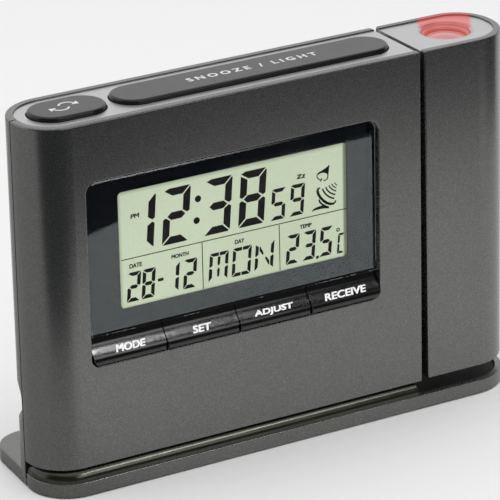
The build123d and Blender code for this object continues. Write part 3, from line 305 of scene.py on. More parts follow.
def board_material():
    """Solder mask over copper tracks, with bare pads."""
    g = Graph("solder_mask_board")
    x, y, z = g.xyz()
    grid = g.nt.nodes.new("ShaderNodeTexBrick")
    grid.inputs["Scale"].default_value = 260.0
    grid.inputs["Mortar Size"].default_value = 0.045
    grid.inputs["Color1"].default_value = (0, 0, 0, 1)
    grid.inputs["Color2"].default_value = (0, 0, 0, 1)
    grid.inputs["Mortar"].default_value = (1, 1, 1, 1)
    warp = g.nt.nodes.new("ShaderNodeCombineXYZ")
    g.link(x, warp.inputs[0])
    g.link(g.math("ADD", z, y), warp.inputs[1])
    g.link(warp.outputs[0], grid.inputs["Vector"])
    some = g.remap(g.noise(90.0, 2.0, 0.5), 0.46, 0.52, 0.0, 1.0)
    track = g.math("MULTIPLY", grid.outputs["Fac"], some)
    slow = g.noise(120.0, 3.0, 0.6)
    base = g.ramp(slow, [(0.3, lin(16, 74, 42)), (0.7, lin(22, 92, 52))])
    col = g.mix(track, base, lin(44, 128, 74))
    pads = g.remap(g.cells(520.0)[1], 0.10, 0.14, 1.0, 0.0)
    pads = g.math("MULTIPLY", pads, g.remap(g.noise(70.0, 1.0, 0.5), 0.55, 0.6, 0.0, 1.0))
    col = g.mix(pads, col, lin(206, 200, 178))
    n = g.bump(g.math("ADD", track, pads), 0.35, 0.03 * MM)
    r = g.remap(slow, 0.3, 0.7, 0.28, 0.42)
    return g.done(g.principled(col, r, 0.0, n, coat=0.2))


def cell_material():
    """Plain two-tone shrink sleeve with bare metal ends; the bands are at set places along the cell."""
    g = Graph("cell_sleeve")
    x, y, z = g.xyz()
    slow = g.noise(80.0, 3.0, 0.5)
    body = g.ramp(slow, [(0.3, lin(34, 35, 38)), (0.7, lin(44, 45, 49))])
    band = g.remap(g.math("ABSOLUTE", g.math("SUBTRACT", x, cell_mid + 0.0165)), 0.0062, 0.0064, 1.0, 0.0)
    col = g.mix(band, body, lin(176, 120, 62))
    ends = g.remap(g.math("ABSOLUTE", g.math("SUBTRACT", x, cell_mid)), 0.0243, 0.0245, 0.0, 1.0)
    col = g.mix(ends, col, lin(196, 196, 194))
    r = g.remap(g.noise(300.0, 3.0, 0.5), 0.3, 0.7, 0.22, 0.34)
    n = g.bump(g.noise(500.0, 2.0, 0.5), 0.12, 0.02 * MM)
    return g.done(g.principled(col, r, ends, n))


def coil_material():
    """Enamelled wire in close turns round the rod."""
    g = Graph("enamelled_coil")
    x, y, z = g.xyz()
    turns = g.math("SINE", g.math("MULTIPLY", x, 2 * math.pi / 0.00035))
    f = g.remap(turns, -1.0, 1.0, 0.0, 1.0)
    shade = g.mix(g.noise(300.0, 2.0, 0.5), lin(150, 74, 34), lin(188, 100, 50))
    col = g.mix(f, lin(70, 30, 14), shade)
    n = g.bump(f, 0.8, 0.12 * MM)
    r = g.remap(g.noise(200.0, 2.0, 0.5), 0.3, 0.7, 0.24, 0.36)
    return g.done(g.principled(col, r, 0.6, n))


def guide_material():
    """Frosted light guide with its printed dots."""
    g = Graph("frosted_guide")
    dots = g.remap(g.cells(900.0)[1], 0.22, 0.3, 1.0, 0.0)
    slow = g.noise(60.0, 2.0, 0.5)
    base = g.ramp(slow, [(0.3, lin(214, 220, 216)), (0.7, lin(226, 231, 227))])
    col = g.mix(dots, base, lin(246, 248, 246))
    n = g.bump(dots, 0.3, 0.02 * MM)
    return g.done(g.principled(col, g.remap(slow, 0.3, 0.7, 0.3, 0.42), 0.0, n))


def zebra_material():
    """Elastomer connector: thin dark layers between pale rubber."""
    g = Graph("layered_connector")
    x, y, z = g.xyz()
    s = g.math("SINE", g.math("MULTIPLY", x, 2 * math.pi / 0.00045))
    f = g.remap(s, -0.2, 0.2, 0.0, 1.0)
    col = g.mix(f, lin(34, 33, 34), lin(216, 208, 196))
    r = g.remap(g.noise(300.0, 2.0, 0.5), 0.3, 0.7, 0.55, 0.75)
    n = g.bump(f, 0.2, 0.02 * MM)
    return g.done(g.principled(col, r, 0.0, n))


def window_material():
    """Clear flat window: what lies behind shows through, and its polished bevel mirrors the room."""
    g = Graph("clear_window")
    clear = g.nt.nodes.new("ShaderNodeBsdfTransparent")
    gloss = g.nt.nodes.new("ShaderNodeBsdfGlossy")
    gloss.distribution = "GGX"
    g.put(gloss.inputs["Roughness"], g.remap(g.noise(120.0, 4.0, 0.6), 0.3, 0.7, 0.006, 0.03))
    wave = g.noise(26.0, 1.0, 0.4)
    g.link(g.bump(wave, 0.06, 0.05 * MM), gloss.inputs["Normal"])
    film = g.noise(90.0, 3.0, 0.6)
    g.link(g.ramp(film, [(0.3, (0.93, 0.96, 0.97)), (0.7, (1.0, 1.0, 1.0))]), gloss.inputs["Color"])
    fres = g.nt.nodes.new("ShaderNodeFresnel")
    fres.inputs["IOR"].default_value = 1.85
    geo = g.nt.nodes.new("ShaderNodeNewGeometry")
    facing = g.xyz(geo.outputs["True Normal"])[1]
    bevel = g.math("MULTIPLY", g.remap(facing, -0.99, -0.95, 0.0, 1.0), g.remap(facing, -0.80, -0.70, 1.0, 0.0))
    front = g.math("SUBTRACT", 1.0, geo.outputs["Backfacing"])
    fac = g.math("MULTIPLY", g.math("MULTIPLY", fres.outputs[0], front), bevel)
    m = g.nt.nodes.new("ShaderNodeMixShader")
    g.link(fac, m.inputs[0])
    g.link(clear.outputs[0], m.inputs[1])
    g.link(gloss.outputs[0], m.inputs[2])
    return g.done(m)


def lcd_material():
    """Reflective liquid crystal cell: grey green, with the fine grain of its reflector and the shade of the border."""
    g = Graph("lcd_cell")
    x, y, z = g.xyz()
    grain = g.noise(2600.0, 2.0, 0.6)
    slow = g.noise(24.0, 2.0, 0.5)
    base = g.ramp(g.math("ADD", g.math("MULTIPLY", grain, 0.5), g.math("MULTIPLY", slow, 0.5)),
                  [(0.3, lin(180, 192, 166)), (0.7, lin(191, 203, 177))])
    # painted shadow of the border on the cell: a wider soft strip inside its right edge and thinner shade just inside
    # its top, left and bottom edges, mixed towards dark green
    painted_shadow_right = g.remap(x, 0.01790, 0.01870, 0.0, 0.72, True)
    top = g.remap(z, 0.07725, 0.07865, 0.0, 0.34, True)
    left = g.remap(x, -0.04744, -0.04625, 0.30, 0.0, True)
    low = g.remap(z, 0.04733, 0.0478, 0.16, 0.0, True)
    dark = g.math("MAXIMUM", g.math("MAXIMUM", painted_shadow_right, top), g.math("MAXIMUM", left, low))
    col = g.mix(dark, base, lin(52, 62, 44))
    r = g.remap(grain, 0.3, 0.7, 0.42, 0.58)
    n = g.bump(grain, 0.15, 0.004 * MM)
    # painted glow: the cell emits its own colour, painted shade included, which brightens it as light falling on it
    # would
    return g.done(g.principled(col, r, 0.0, n, specular=0.2, emission=col, strength=0.28))


def segment_material():
    """Dark liquid crystal segments, a little uneven."""
    g = Graph("lcd_segments")
    slow = g.noise(160.0, 3.0, 0.6)
    col = g.ramp(slow, [(0.3, lin(20, 18, 18)), (0.7, lin(28, 26, 26))])
    r = g.remap(g.noise(300.0, 2.0, 0.5), 0.3, 0.7, 0.45, 0.6)
    n = g.bump(slow, 0.1, 0.004 * MM)
    return g.done(g.principled(col, r, 0.0, n, specular=0.2))


def print_material(name, a, b):
    """Pad-printed ink, with a trace of unevenness."""
    g = Graph(name)
    fine = g.noise(1500.0, 3.0, 0.6)
    col = g.ramp(fine, [(0.25, a), (0.75, b)])
    r = g.remap(g.noise(500.0, 2.0, 0.5), 0.3, 0.7, 0.45, 0.62)
    n = g.bump(fine, 0.2, 0.005 * MM)
    return g.done(g.principled(col, r, 0.0, n))


LENS_X, LENS_Y = 0.0563, -0.0054


def around_lens(g):
    x, y, z = g.xyz()
    dx = g.math("SUBTRACT", x, LENS_X)
    dy = g.math("SUBTRACT", y, LENS_Y)
    return g.math("SQRT", g.math("ADD", g.math("MULTIPLY", dx, dx), g.math("MULTIPLY", dy, dy))), z, dx, dy


def lens_material():
    """Moulded lens lit red from below, brightest round its middle."""
    g = Graph("red_lit_lens")
    rad, z, dx, dy = around_lens(g)
    glow = g.ramp(g.remap(rad, 0.0, 0.0056, 0.0, 1.0),
                  [(0.0, lin(190, 106, 108)), (0.55, lin(204, 120, 120)), (0.8, lin(222, 138, 136)), (1.0, lin(196, 80, 80))])
    mottle = g.noise(260.0, 2.0, 0.5)
    glow = g.mix(g.remap(mottle, 0.3, 0.7, 0.0, 0.18), glow, lin(244, 196, 192))
    n = g.bump(g.noise(140.0, 1.0, 0.4), 0.08, 0.05 * MM)
    r = g.remap(g.noise(300.0, 2.0, 0.5), 0.3, 0.7, 0.05, 0.12)
    return g.done(g.principled(lin(120, 66, 68), r, 0.0, n, emission=glow, strength=0.52, coat=0.3, coat_rough=0.05))


def barrel_material():
    """Ringed tube round the lens, washed with the lens's red light."""
    g = Graph("red_lit_tube")
    rad, z, dx, dy = around_lens(g)
    deep = g.remap(z, 0.0955, 0.0984, 0.0, 1.0)
    rings = g.remap(g.math("SINE", g.math("MULTIPLY", z, 2 * math.pi / 0.00042)), -0.6, 0.8, 0.0, 1.0)
    glow = g.ramp(deep, [(0.0, lin(112, 34, 32)), (0.4, lin(168, 74, 68)), (0.75, lin(200, 104, 98)), (1.0, lin(222, 138, 132))])
    glow = g.mix(g.math("MULTIPLY", g.math("SUBTRACT", 1.0, rings), 0.6), glow, lin(124, 50, 44))
    n = g.bump(rings, 0.5, 0.06 * MM)
    r = g.remap(g.noise(300.0, 2.0, 0.5), 0.3, 0.7, 0.2, 0.32)
    return g.done(g.principled(lin(150, 80, 76), r, 0.0, n, emission=glow, strength=0.62))


def beam_wash(g, dx, dy, start):
    """Share of the lens's red light that lies behind the hole, towards the back right, as wide as the hole."""
    along = g.math("ADD", g.math("MULTIPLY", dx, 0.497), g.math("MULTIPLY", dy, 0.868))
    across = g.math("ABSOLUTE", g.math("SUBTRACT", g.math("MULTIPLY", dx, 0.868), g.math("MULTIPLY", dy, 0.497)))
    return g.math("MULTIPLY", g.remap(along, start - 0.002, start, 0.0, 1.0, True), g.remap(across, 0.0062, 0.0076, 1.0, 0.0, True))


def arm_plate_material():
    """The arm's silver plate, with the lens's red light on it round the hole."""
    g = Graph("silver_plate_by_lens")
    a, r, n = flake_layer(g, lin(186, 186, 187), 0.10, 0.17, 0.34, 0.15, 0.06)
    rad, z, dx, dy = around_lens(g)
    # the lens's red light painted into the plate's colour: a halo round the hole and the beam's wash
    red = g.remap(rad, 0.0066, 0.0080, 0.5, 0.0, True)
    wash = beam_wash(g, dx, dy, 0.003)
    tint = g.math("MAXIMUM", g.math("MULTIPLY", red, 0.5), wash)
    col = g.mix(tint, a, lin(146, 80, 81))
    # painted red glow of the lens's light: brownish close behind the hole, a paler arc round it and an even wash
    # beyond, then a pale pink painted glow on the hole's lip
    arcs = g.ramp(g.remap(rad, 0.0066, 0.0124, 0.0, 1.0),
                  [(0.0, lin(176, 84, 78)), (0.24, lin(192, 92, 88)), (0.36, lin(228, 138, 134)), (0.50, lin(206, 106, 106)),
                   (1.0, lin(206, 108, 110))])
    glow = g.mix(wash, lin(0), arcs)
    lip = g.remap(rad, 0.00655, 0.00695, 1.0, 0.0, True)
    glow = g.mix(g.math("MULTIPLY", lip, 0.6), glow, lin(216, 150, 152))
    return g.done(g.principled(col, r, 0.80, n, emission=glow, strength=0.62))


def arm_paint_material():
    """The body's paint, with the lens's red light on the rim behind the hole."""
    g = Graph("grey_flake_paint_by_lens")
    a, r, n = flake_layer(g, lin(113, 113, 111.5), 0.22, 0.22, 0.26, 0.4, 0.04)
    rad, z, dx, dy = around_lens(g)
    wash = g.math("MULTIPLY", beam_wash(g, dx, dy, 0.008), g.remap(z, 0.0983, 0.0990, 0.0, 1.0, True))
    col = g.mix(wash, a, lin(120, 52, 52))
    return g.done(g.principled(col, r, 0.90, n, emission=g.mix(wash, lin(0), lin(168, 76, 76)), strength=0.6))


def glass_insert_material(name, tint):
    """Small optical piece inside the arm."""
    g = Graph(name)
    slow = g.noise(140.0, 2.0, 0.5)
    col = g.ramp(slow, [(0.3, scaled(tint, 0.94)), (0.7, tint)])
    n = g.bump(slow, 0.05, 0.02 * MM)
    return g.done(g.principled(col, g.remap(slow, 0.3, 0.7, 0.04, 0.09), 0.0, n, coat=0.4, coat_rough=0.03))


cells_low, cells_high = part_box("battery_cells")
cell_mid = (cells_low.x + cells_high.x) / 2

LOOKS = {
    "front_shell": paint, "rear_shell": paint, "battery_door": paint, "arm_shell": arm_paint_material(),
    "arm_side_plate": paint,
    "base_plate": moulded("black_base", lin(15, 15, 16), 0.55, vary=0.14, grain=1500.0, bump_mm=0.012, strength=0.45, specular=0.3),
    "base_trim": trim_material(),
    "body_top_plate": silver, "arm_top_plate": arm_plate_material(),
    "display_window": window_material(), "display_mask": mask_material(), "lcd_panel": lcd_material(),
    "lcd_frame": white_plastic, "backlight_guide": guide_material(), "zebra_strips": zebra_material(),
    "main_pcb": board_material(), "clock_chip": black_plastic, "quartz_crystal": steel, "front_switches": black_plastic,
    "top_switches": black_plastic, "antenna_coil": coil_material(), "buzzer": black_plastic, "dc_jack": black_plastic,
    "battery_cells": cell_material(), "battery_contacts": nickel, "ferrite_rod": ferrite,
    "pivot_bush": black_plastic, "optics_tube": black_plastic, "projector_led": led_red,
    "condenser_lens": glass_insert_material("condenser_glass", lin(214, 224, 226)),
    "projector_lcd": glass_insert_material("projector_cell", lin(58, 52, 66)),
    "lens_barrel": barrel_material(), "projection_lens": lens_material(),
    "mode_button": black_key, "set_button": black_key, "adjust_button": black_key, "receive_button": black_key,
    "snooze_button": black_gloss, "flip_button": black_gloss, "focus_knob": moulded("ribbed_black_wheel", lin(24), 0.42, vary=0.15, grain=1500.0, bump_mm=0.008, strength=0.35),
    "base_pads": rubber, "projector_lead": rubber,
}
for same in ("top_key_board", "radio_board", "projector_board"):
    LOOKS[same] = LOOKS["main_pcb"]
for same in ("pcb_screws", "shell_screws", "base_screws", "arm_screws", "pivot_spring", "pivot_clip"):
    LOOKS[same] = steel
for same in ("mode_plunger", "set_plunger", "adjust_plunger", "receive_plunger", "snooze_plungers", "flip_plunger"):
    LOOKS[same] = rubber
assert sorted(LOOKS) == sorted(NODES), set(LOOKS) ^ set(NODES)
for name, material in LOOKS.items():
    mesh = NODES[name].data
    for i in range(len(mesh.materials)):
        mesh.materials[i] = material


# ---------------------------------------------------------------------------
# Thin printed pieces
# ---------------------------------------------------------------------------
def new_object(name, verts, faces, material, body):
    mesh = bpy.data.meshes.new(name)
    mesh.from_pydata([tuple(v) for v in verts], [], faces)
    mesh.materials.append(material)
    mesh.validate()
    obj = bpy.data.objects.new(name, mesh)
    scene.collection.objects.link(obj)
    bm = bmesh.new()
    bm.from_mesh(mesh)
    bmesh.ops.recalc_face_normals(bm, faces=bm.faces)
    bm.to_mesh(mesh)
    bm.free()
    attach(obj, body)
    return obj


class Sheet:
    """Collects flat outlines and thin text, given as 2-D points in mm, and turns them into closed thin solids."""

    def __init__(self, place):
        self.place = place          # (u, v, side) -> point in metres; side 0 is the hidden face and 1 the shown one
        self.verts, self.faces = [], []

    def outline(self, points):
        n, base = len(points), len(self.verts)
        area = sum(points[i][0] * points[(i + 1) % n][1] - points[(i + 1) % n][0] * points[i][1] for i in range(n))
        if area < 0:
            points = points[::-1]
        for side in (0, 1):
            self.verts += [self.place(u, v, side) for u, v in points]
        self.faces.append([base + n + i for i in range(n)])
        self.faces.append([base + i for i in reversed(range(n))])
        for i in range(n):
            j = (i + 1) % n
            self.faces.append([base + i, base + j, base + n + j, base + n + i])

    def ribbon(self, points, widths):
        """A stroke of changing width along the points."""
        if not isinstance(widths, (list, tuple)):
            widths = [widths] * len(points)
        left, right_side = [], []
        for i, (p, w) in enumerate(zip(points, widths)):
            a, b = points[max(0, i - 1)], points[min(len(points) - 1, i + 1)]
            dx, dy = b[0] - a[0], b[1] - a[1]
            m = math.hypot(dx, dy) or 1.0
            nx, ny = -dy / m * w / 2, dx / m * w / 2
            left.append((p[0] + nx, p[1] + ny))
            right_side.append((p[0] - nx, p[1] - ny))
        for i in range(len(points) - 1):
            self.outline([left[i], left[i + 1], right_side[i + 1], right_side[i]])

    def heavy(self, words, x0, x1, z0, z1, sx, sz, **more):
        """Heavier letters: the word four times with small shifts, each a hair above the last."""
        for k, (dx, dz) in enumerate(((-sx, -sz), (sx, sz), (-sx, sz), (sx, -sz))):
            self.text(words, x0 + sx + dx, x1 - sx + dx, z0 + sz + dz, z1 - sz + dz, layer=k, **more)

    def text(self, words, x0, x1, z0, z1, bold=0.0, shear=0.0, spacing=1.0, slices=0, layer=0):
        """Plain letters scaled to fill a rectangle; shear moves the top by that share of the height."""
        curve = bpy.data.curves.new("letters", "FONT")
        curve.body = words
        curve.size = 1.0
        curve.offset = bold
        curve.space_character = spacing
        curve.resolution_u = 5
        curve.extrude = 0.05
        obj = bpy.data.objects.new("letters", curve)
        scene.collection.objects.link(obj)
        bpy.context.view_layer.update()
        depsgraph = bpy.context.evaluated_depsgraph_get()
        mesh = bpy.data.meshes.new_from_object(obj.evaluated_get(depsgraph))
        bm = bmesh.new()
        bm.from_mesh(mesh)
        bmesh.ops.remove_doubles(bm, verts=bm.verts, dist=1e-5)
        if slices:
            lo, hi = min(v.co.y for v in bm.verts), max(v.co.y for v in bm.verts)
            for i in range(1, slices):
                cut = lo + (hi - lo) * i / slices
                geom = bm.verts[:] + bm.edges[:] + bm.faces[:]
                bmesh.ops.bisect_plane(bm, geom=geom, plane_co=(0, cut, 0), plane_no=(0, 1, 0))
        xs, ys = [v.co.x for v in bm.verts], [v.co.y for v in bm.verts]
        ax, bx, ay, by = min(xs), max(xs), min(ys), max(ys)
        bm.verts.index_update()
        base = len(self.verts)
        for v in bm.verts:
            q = z0 + (v.co.y - ay) / (by - ay) * (z1 - z0)
            p = x0 + (v.co.x - ax) / (bx - ax) * (x1 - x0) + shear * (q - z0)
            self.verts.append(self.place(p, q, 1 + 0.08 * layer if v.co.z > 0 else 0))
        for f in bm.faces:
            self.faces.append([base + v.index for v in f.verts])
        bm.free()
        bpy.data.objects.remove(obj)
        bpy.data.meshes.remove(mesh)
        bpy.data.curves.remove(curve)

    def piece(self, name, material, body):
        return new_object(name, self.verts, self.faces, material, body)


def lcd_place(u, v, side):
    return (u * MM, (-15.585 - 0.035 * side) * MM, v * MM)


def disc(cx, cy, r, n=28, slant=0.0):
    return [(cx + r * math.cos(2 * math.pi * i / n) + slant * r * math.sin(2 * math.pi * i / n),
             cy + r * math.sin(2 * math.pi * i / n)) for i in range(n)]


def seven(w, h, t, gap):
    """The seven segments of a digit, w wide and h high, of stroke t, as outlines from the digit's lower left."""
    k = 0.707 * gap
    m = h / 2
    return {
        "a": [(0, h - .27 * t), (.65 * t, h), (w - k, h), (w - t - k, h - t), (t + 1.2 * k, h - t)],
        "f": [(0, h - .55 * t), (t, h - t - k), (t, m + .5 * t + .5 * k), (.35 * t, m + k), (0, m + .35 * t)],
        "b": [(w - .12 * t, h - .05 * t - k), (w, h - .3 * t), (w, m + .35 * t), (w - .35 * t, m + k),
              (w - t, m + .5 * t + .5 * k), (w - t, h - t - k)],
        "g": [(.45 * t + k, m), (t + k, m + t / 2), (w - t - k, m + t / 2), (w - .45 * t - k, m),
              (w - t - k, m - t / 2), (t + k, m - t / 2)],
        "c": [(w - .35 * t, m - k), (w, m - .35 * t), (w, .3 * t), (w - .1 * t, .12 * t + k), (w - t, t + k),
              (w - t, m - .5 * t - .5 * k)],
        "e": [(0, m - .35 * t), (.35 * t, m - k), (t, m - .5 * t - .5 * k), (t, t + k), (0, 1.2 * k)],
        "d": [(.05 * t + .3 * k, 0), (t + k, t), (w - t - k, t), (w - k, .1 * t), (w - .15 * t - k, 0)],
    }


DIGITS = {"0": "abcdef", "1": "bc", "2": "abged", "3": "abgcd", "5": "afgcd", "8": "abcdefg", "9": "abcdfg"}


def digit(sheet, char, x0, base, w, h, t, gap, slant):
    segs = seven(w, h, t, gap)
    for s in DIGITS[char]:
        sheet.outline([(x0 + x + slant * z, base + z) for x, z in segs[s]])


segments = segment_material()

big = Sheet(lcd_place)
for char, x0 in (("1", -45.2), ("2", -35.2), ("3", -23.05), ("8", -13.05)):
    digit(big, char, x0, 61.75, 7.55, 14.9, 2.0, 0.42, 0.085)
for cx, cz in ((-24.46, 72.23), (-25.01, 66.46)):
    big.outline(disc(cx, cz, 0.9))
for char, x0 in (("5", -3.5), ("9", 2.1)):
    digit(big, char, x0, 61.65, 4.15, 8.45, 1.0, 0.26, 0.085)
big.piece("lcd_time_digits", segments, "clock_body")

small = Sheet(lcd_place)
for char, x0 in (("2", -45.7), ("8", -41.5), ("1", -34.55), ("2", -29.5), ("2", 0.75), ("3", 5.7), ("5", 10.75)):
    digit(small, char, x0, 48.65, 3.65, 7.9, 1.0, 0.24, 0.09)
small.outline([(-36.65, 52.4), (-35.05, 52.4), (-35.05, 53.2), (-36.65, 53.2)])
small.outline([(9.85, 48.35), (10.65, 48.35), (10.72, 49.13), (9.92, 49.13)])
# degree ring and the thin C
ring_n = 20
for i in range(ring_n):
    a0, a1 = 2 * math.pi * i / ring_n, 2 * math.pi * (i + 1) / ring_n
    small.outline([(16.61 + r * math.cos(a), 55.0 + r * math.sin(a)) for r, a in ((0.27, a0), (0.53, a0), (0.53, a1), (0.27, a1))])
c_segs = seven(2.0, 5.5, 0.6, 0.12)
for s in "afed":
    small.outline([(16.15 + x + 0.09 * z, 48.4 + z) for x, z in c_segs[s]])
small.piece("lcd_date_and_temperature_digits", segments, "clock_body")

letters = Sheet(lcd_place)


def fourteen(sheet, names, x0, base=48.8, w=5.5, h=7.7, t=0.92, gap=0.26, slant=0.09):
    k, m, c = 0.707 * gap, h / 2, w / 2
    s7 = seven(w, h, t, gap)
    shapes = {n: s7[n] for n in "bcef"}
    shapes["a1"] = [(0, h - .27 * t), (.65 * t, h), (c - gap / 2, h), (c - gap / 2, h - t), (t + 1.2 * k, h - t)]
    shapes["a2"] = [(c + gap / 2, h), (w - k, h), (w - t - k, h - t), (c + gap / 2, h - t)]
    shapes["d1"] = [(.05 * t + .3 * k, 0), (t + k, t), (c - gap / 2, t), (c - gap / 2, 0)]
    shapes["d2"] = [(c + gap / 2, 0), (c + gap / 2, t), (w - t - k, t), (w - k, .1 * t), (w - .15 * t - k, 0)]
    shapes["i"] = [(c - t * .42, h - t - gap), (c + t * .42, h - t - gap), (c + t * .42, m + t * .9), (c, m + k), (c - t * .42, m + t * .9)]
    shapes["l"] = [(c, m - k), (c + t * .42, m - t * .9), (c + t * .3, t + gap), (c - t * .3, t + gap), (c - t * .42, m - t * .9)]
    shapes["h"] = [(t + gap, h - t - gap), (t + gap + .25 * t, h - t - gap), (c - t * .35, m + t * .95), (c - t * .35, m + t * .35),
                   (c - t * .75, m + t * .5), (t + gap, h - t - gap - 1.1 * t)]
    shapes["n"] = [(w - x, h - z) for x, z in shapes["h"]]
    for n in names:
        sheet.outline([(x0 + x + slant * z, base + z) for x, z in shapes[n]])


fourteen(letters, ("f", "e", "b", "c", "a1", "a2", "i", "l"), -22.1)
fourteen(letters, ("f", "e", "b", "c", "a1", "a2", "d1", "d2"), -15.3)
fourteen(letters, ("f", "e", "b", "c", "h", "n"), -8.6)
letters.piece("lcd_day_letters", segments, "clock_body")

labels = Sheet(lcd_place)
for words, x0, x1, z0, z1, sx, sz in (
    ("DATE", -44.66, -41.10, 57.68, 58.84, 0.05, 0.03),
    ("MONTH", -32.60, -27.66, 57.65, 58.72, 0.05, 0.03),
    ("DAY", -14.14, -11.36, 57.62, 58.78, 0.05, 0.03),
    ("TEMP", 5.08, 8.64, 57.62, 58.72, 0.05, 0.03),
    ("PM", -43.86, -41.46, 70.92, 72.10, 0.07, 0.04),
    ("Z", 4.48, 5.92, 71.45, 72.63, 0.08, 0.06),
    ("Z", 5.95, 7.00, 71.43, 72.40, 0.08, 0.06),
):
    labels.heavy(words, x0, x1, z0, z1, sx, sz, shear=0.08)
half = 0.11
labels.outline([(-46.88, 60.37 - half), (19.20, 60.37 - half), (19.20, 60.37 + half), (-46.88, 60.37 + half)])
labels.outline([(-23.63 - half, 47.5), (-23.63 + half, 47.5), (-23.63 + half, 60.1), (-23.63 - half, 60.1)])
labels.outline([(-0.95 - half, 47.6), (-0.95 + half, 47.6), (-0.95 + half, 60.1), (-0.95 - half, 60.1)])
labels.piece("lcd_labels_and_lines", segments, "clock_body")

icons = Sheet(lcd_place)
icons.outline([(14.13, 73.41), (14.34, 73.02), (14.17, 72.68), (14.03, 71.51), (13.83, 70.79), (13.12, 71.37), (12.48, 71.62),
               (11.76, 71.65), (10.92, 71.39), (11.17, 72.0), (12.37, 72.4), (13.7, 73.0)])
icons.ribbon([(11.17, 71.89), (10.64, 71.45), (10.49, 70.94), (10.74, 70.4), (11.33, 69.89)], 0.3)
icons.ribbon([(13.83, 71.22), (13.77, 70.47), (13.64, 69.8), (13.09, 69.41), (12.44, 69.48)], 0.3)
icons.ribbon([(11.93, 70.16), (11.78, 69.84), (11.41, 69.43)], 0.4)
icons.ribbon([(11.39, 67.69), (10.81, 67.48), (10.61, 66.93), (10.83, 66.05), (11.41, 65.01), (12.35, 63.91), (13.41, 63.05),
              (14.49, 62.58), (15.37, 62.5), (15.86, 62.84), (16.06, 63.3)],
             [0.35, 0.6, 0.75, 0.75, 0.72, 0.7, 0.7, 0.7, 0.6, 0.45, 0.3])
icons.ribbon([(12.14, 67.27), (12.42, 66.49), (13.02, 65.59), (13.87, 64.8), (14.75, 64.24), (15.59, 63.87)], 0.42)
icons.ribbon([(13.1, 67.5), (13.38, 66.83), (13.94, 66.1), (14.65, 65.51), (15.32, 65.11), (15.94, 64.89)], 0.38)
icons.ribbon([(14.04, 67.79), (14.3, 67.25), (14.77, 66.72), (15.43, 66.18), (16.19, 65.8)], 0.33)
icons.ribbon([(14.84, 68.06), (15.16, 67.51), (15.64, 67.06), (16.25, 66.67)], 0.29)
icons.ribbon([(15.7, 68.21), (16.01, 67.77), (16.5, 67.27)], 0.25)
icons.ribbon([(11.0, 64.53), (11.27, 63.77), (12.09, 62.89), (13.11, 62.17), (13.87, 61.77)], [0.4, 0.5, 0.5, 0.45, 0.35])
icons.ribbon([(13.95, 61.73), (12.8, 62.13), (11.6, 62.27), (10.29, 62.18), (9.38, 62.02), (8.89, 61.64)],
             [0.5, 0.8, 0.85, 0.7, 0.45, 0.2])
icons.piece("lcd_alarm_and_radio_symbols", segments, "clock_body")

# ---------------------------------------------------------------------------
# Legends on the keys
# ---------------------------------------------------------------------------
white_ink = print_material("white_key_print", lin(246, 247, 246), lin(254, 254, 254))
pale_ink = print_material("pale_key_print", lin(196, 197, 198), lin(216, 217, 218))


def tree_of(name):
    mesh = NODES[name].data
    return BVHTree.FromPolygons([v.co.copy() for v in mesh.vertices], [tuple(p.vertices) for p in mesh.polygons])


for name, words, x0, x1 in (
    ("mode", "MODE", -50.32, -42.10),
    ("set", "SET", -28.10, -22.90),
    ("adjust", "ADJUST", -9.90, 1.40),
    ("receive", "RECEIVE", 11.16, 23.42),
):
    tree = tree_of(name + "_button")
    low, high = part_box(name + "_button")
    profile = []
    for i in range(140):
        z = 35.5 + i * 0.03
        hit = tree.ray_cast(Vector(((low.x + high.x) / 2, -0.05, z * MM)), Vector((0, 1, 0)))
        profile.append((z, hit[0].y / MM))

    def key_place(u, v, side, profile=profile):
        t = min(max((v - profile[0][0]) / 0.03, 0), len(profile) - 1.001)
        i = int(t)
        y = profile[i][1] + (profile[i + 1][1] - profile[i][1]) * (t - i)
        s = (profile[i + 1][1] - profile[i][1]) / 0.03
        lift = -0.022 * side * math.hypot(1, s) if side else 0.03
        return (u * MM, (y + lift) * MM, v * MM)

    legend = Sheet(key_place)
    legend.heavy(words, x0 - 0.05, x1 + 0.05, 36.99, 38.54, 0.11, 0.05, shear=0.36, slices=8)
    legend.piece(name + "_legend", white_ink, name + "_key")

TOP_Z = 100.15


def top_place(u, v, side):
    return (u * MM, v * MM, (TOP_Z + (0.014 * side if side else -0.03)) * MM)


bar = Sheet(top_place)
bar.heavy("SNOOZE / LIGHT", -21.0, 17.0, -6.55, -4.1, 0.10, 0.08, spacing=1.5)
bar.piece("snooze_legend", pale_ink, "snooze_key")

# two arrows that chase each other round the middle of the small key
arrows = Sheet(top_place)


def arc_through(p, q, r, steps=14):
    """Points of the circle through p, q and r, from p to r by way of q."""
    ax, ay = q[0] - p[0], q[1] - p[1]
    bx, by = r[0] - p[0], r[1] - p[1]
    d = 2 * (ax * by - ay * bx)
    ux = (by * (ax * ax + ay * ay) - ay * (bx * bx + by * by)) / d
    uy = (ax * (bx * bx + by * by) - bx * (ax * ax + ay * ay)) / d
    cx, cy, rad = p[0] + ux, p[1] + uy, math.hypot(ux, uy)
    a0 = math.atan2(p[1] - cy, p[0] - cx)
    turn = math.atan2(r[1] - cy, r[0] - cx) - a0
    way = math.atan2(q[1] - cy, q[0] - cx) - a0
    if (way % (2 * math.pi)) > (turn % (2 * math.pi)):
        turn = -((-turn) % (2 * math.pi))
    else:
        turn = turn % (2 * math.pi)
    return [(cx + rad * math.cos(a0 + turn * i / steps), cy + rad * math.sin(a0 + turn * i / steps)) for i in range(steps + 1)]


for sign in (1, -1):
    def spin(x, y, sign=sign):
        return (-56.0 + sign * x, -5.25 + sign * y)

    arc = arc_through((-0.95, 0.95), (1.25, 2.38), (3.2, 1.15))
    arrows.ribbon([spin(x, y) for x, y in arc], 0.55)
    arrows.outline([spin(x, y) for x, y in ((2.25, 0.25), (4.35, 1.95), (4.25, -0.15))])
arrows.piece("flip_symbol", pale_ink, "flip_key")

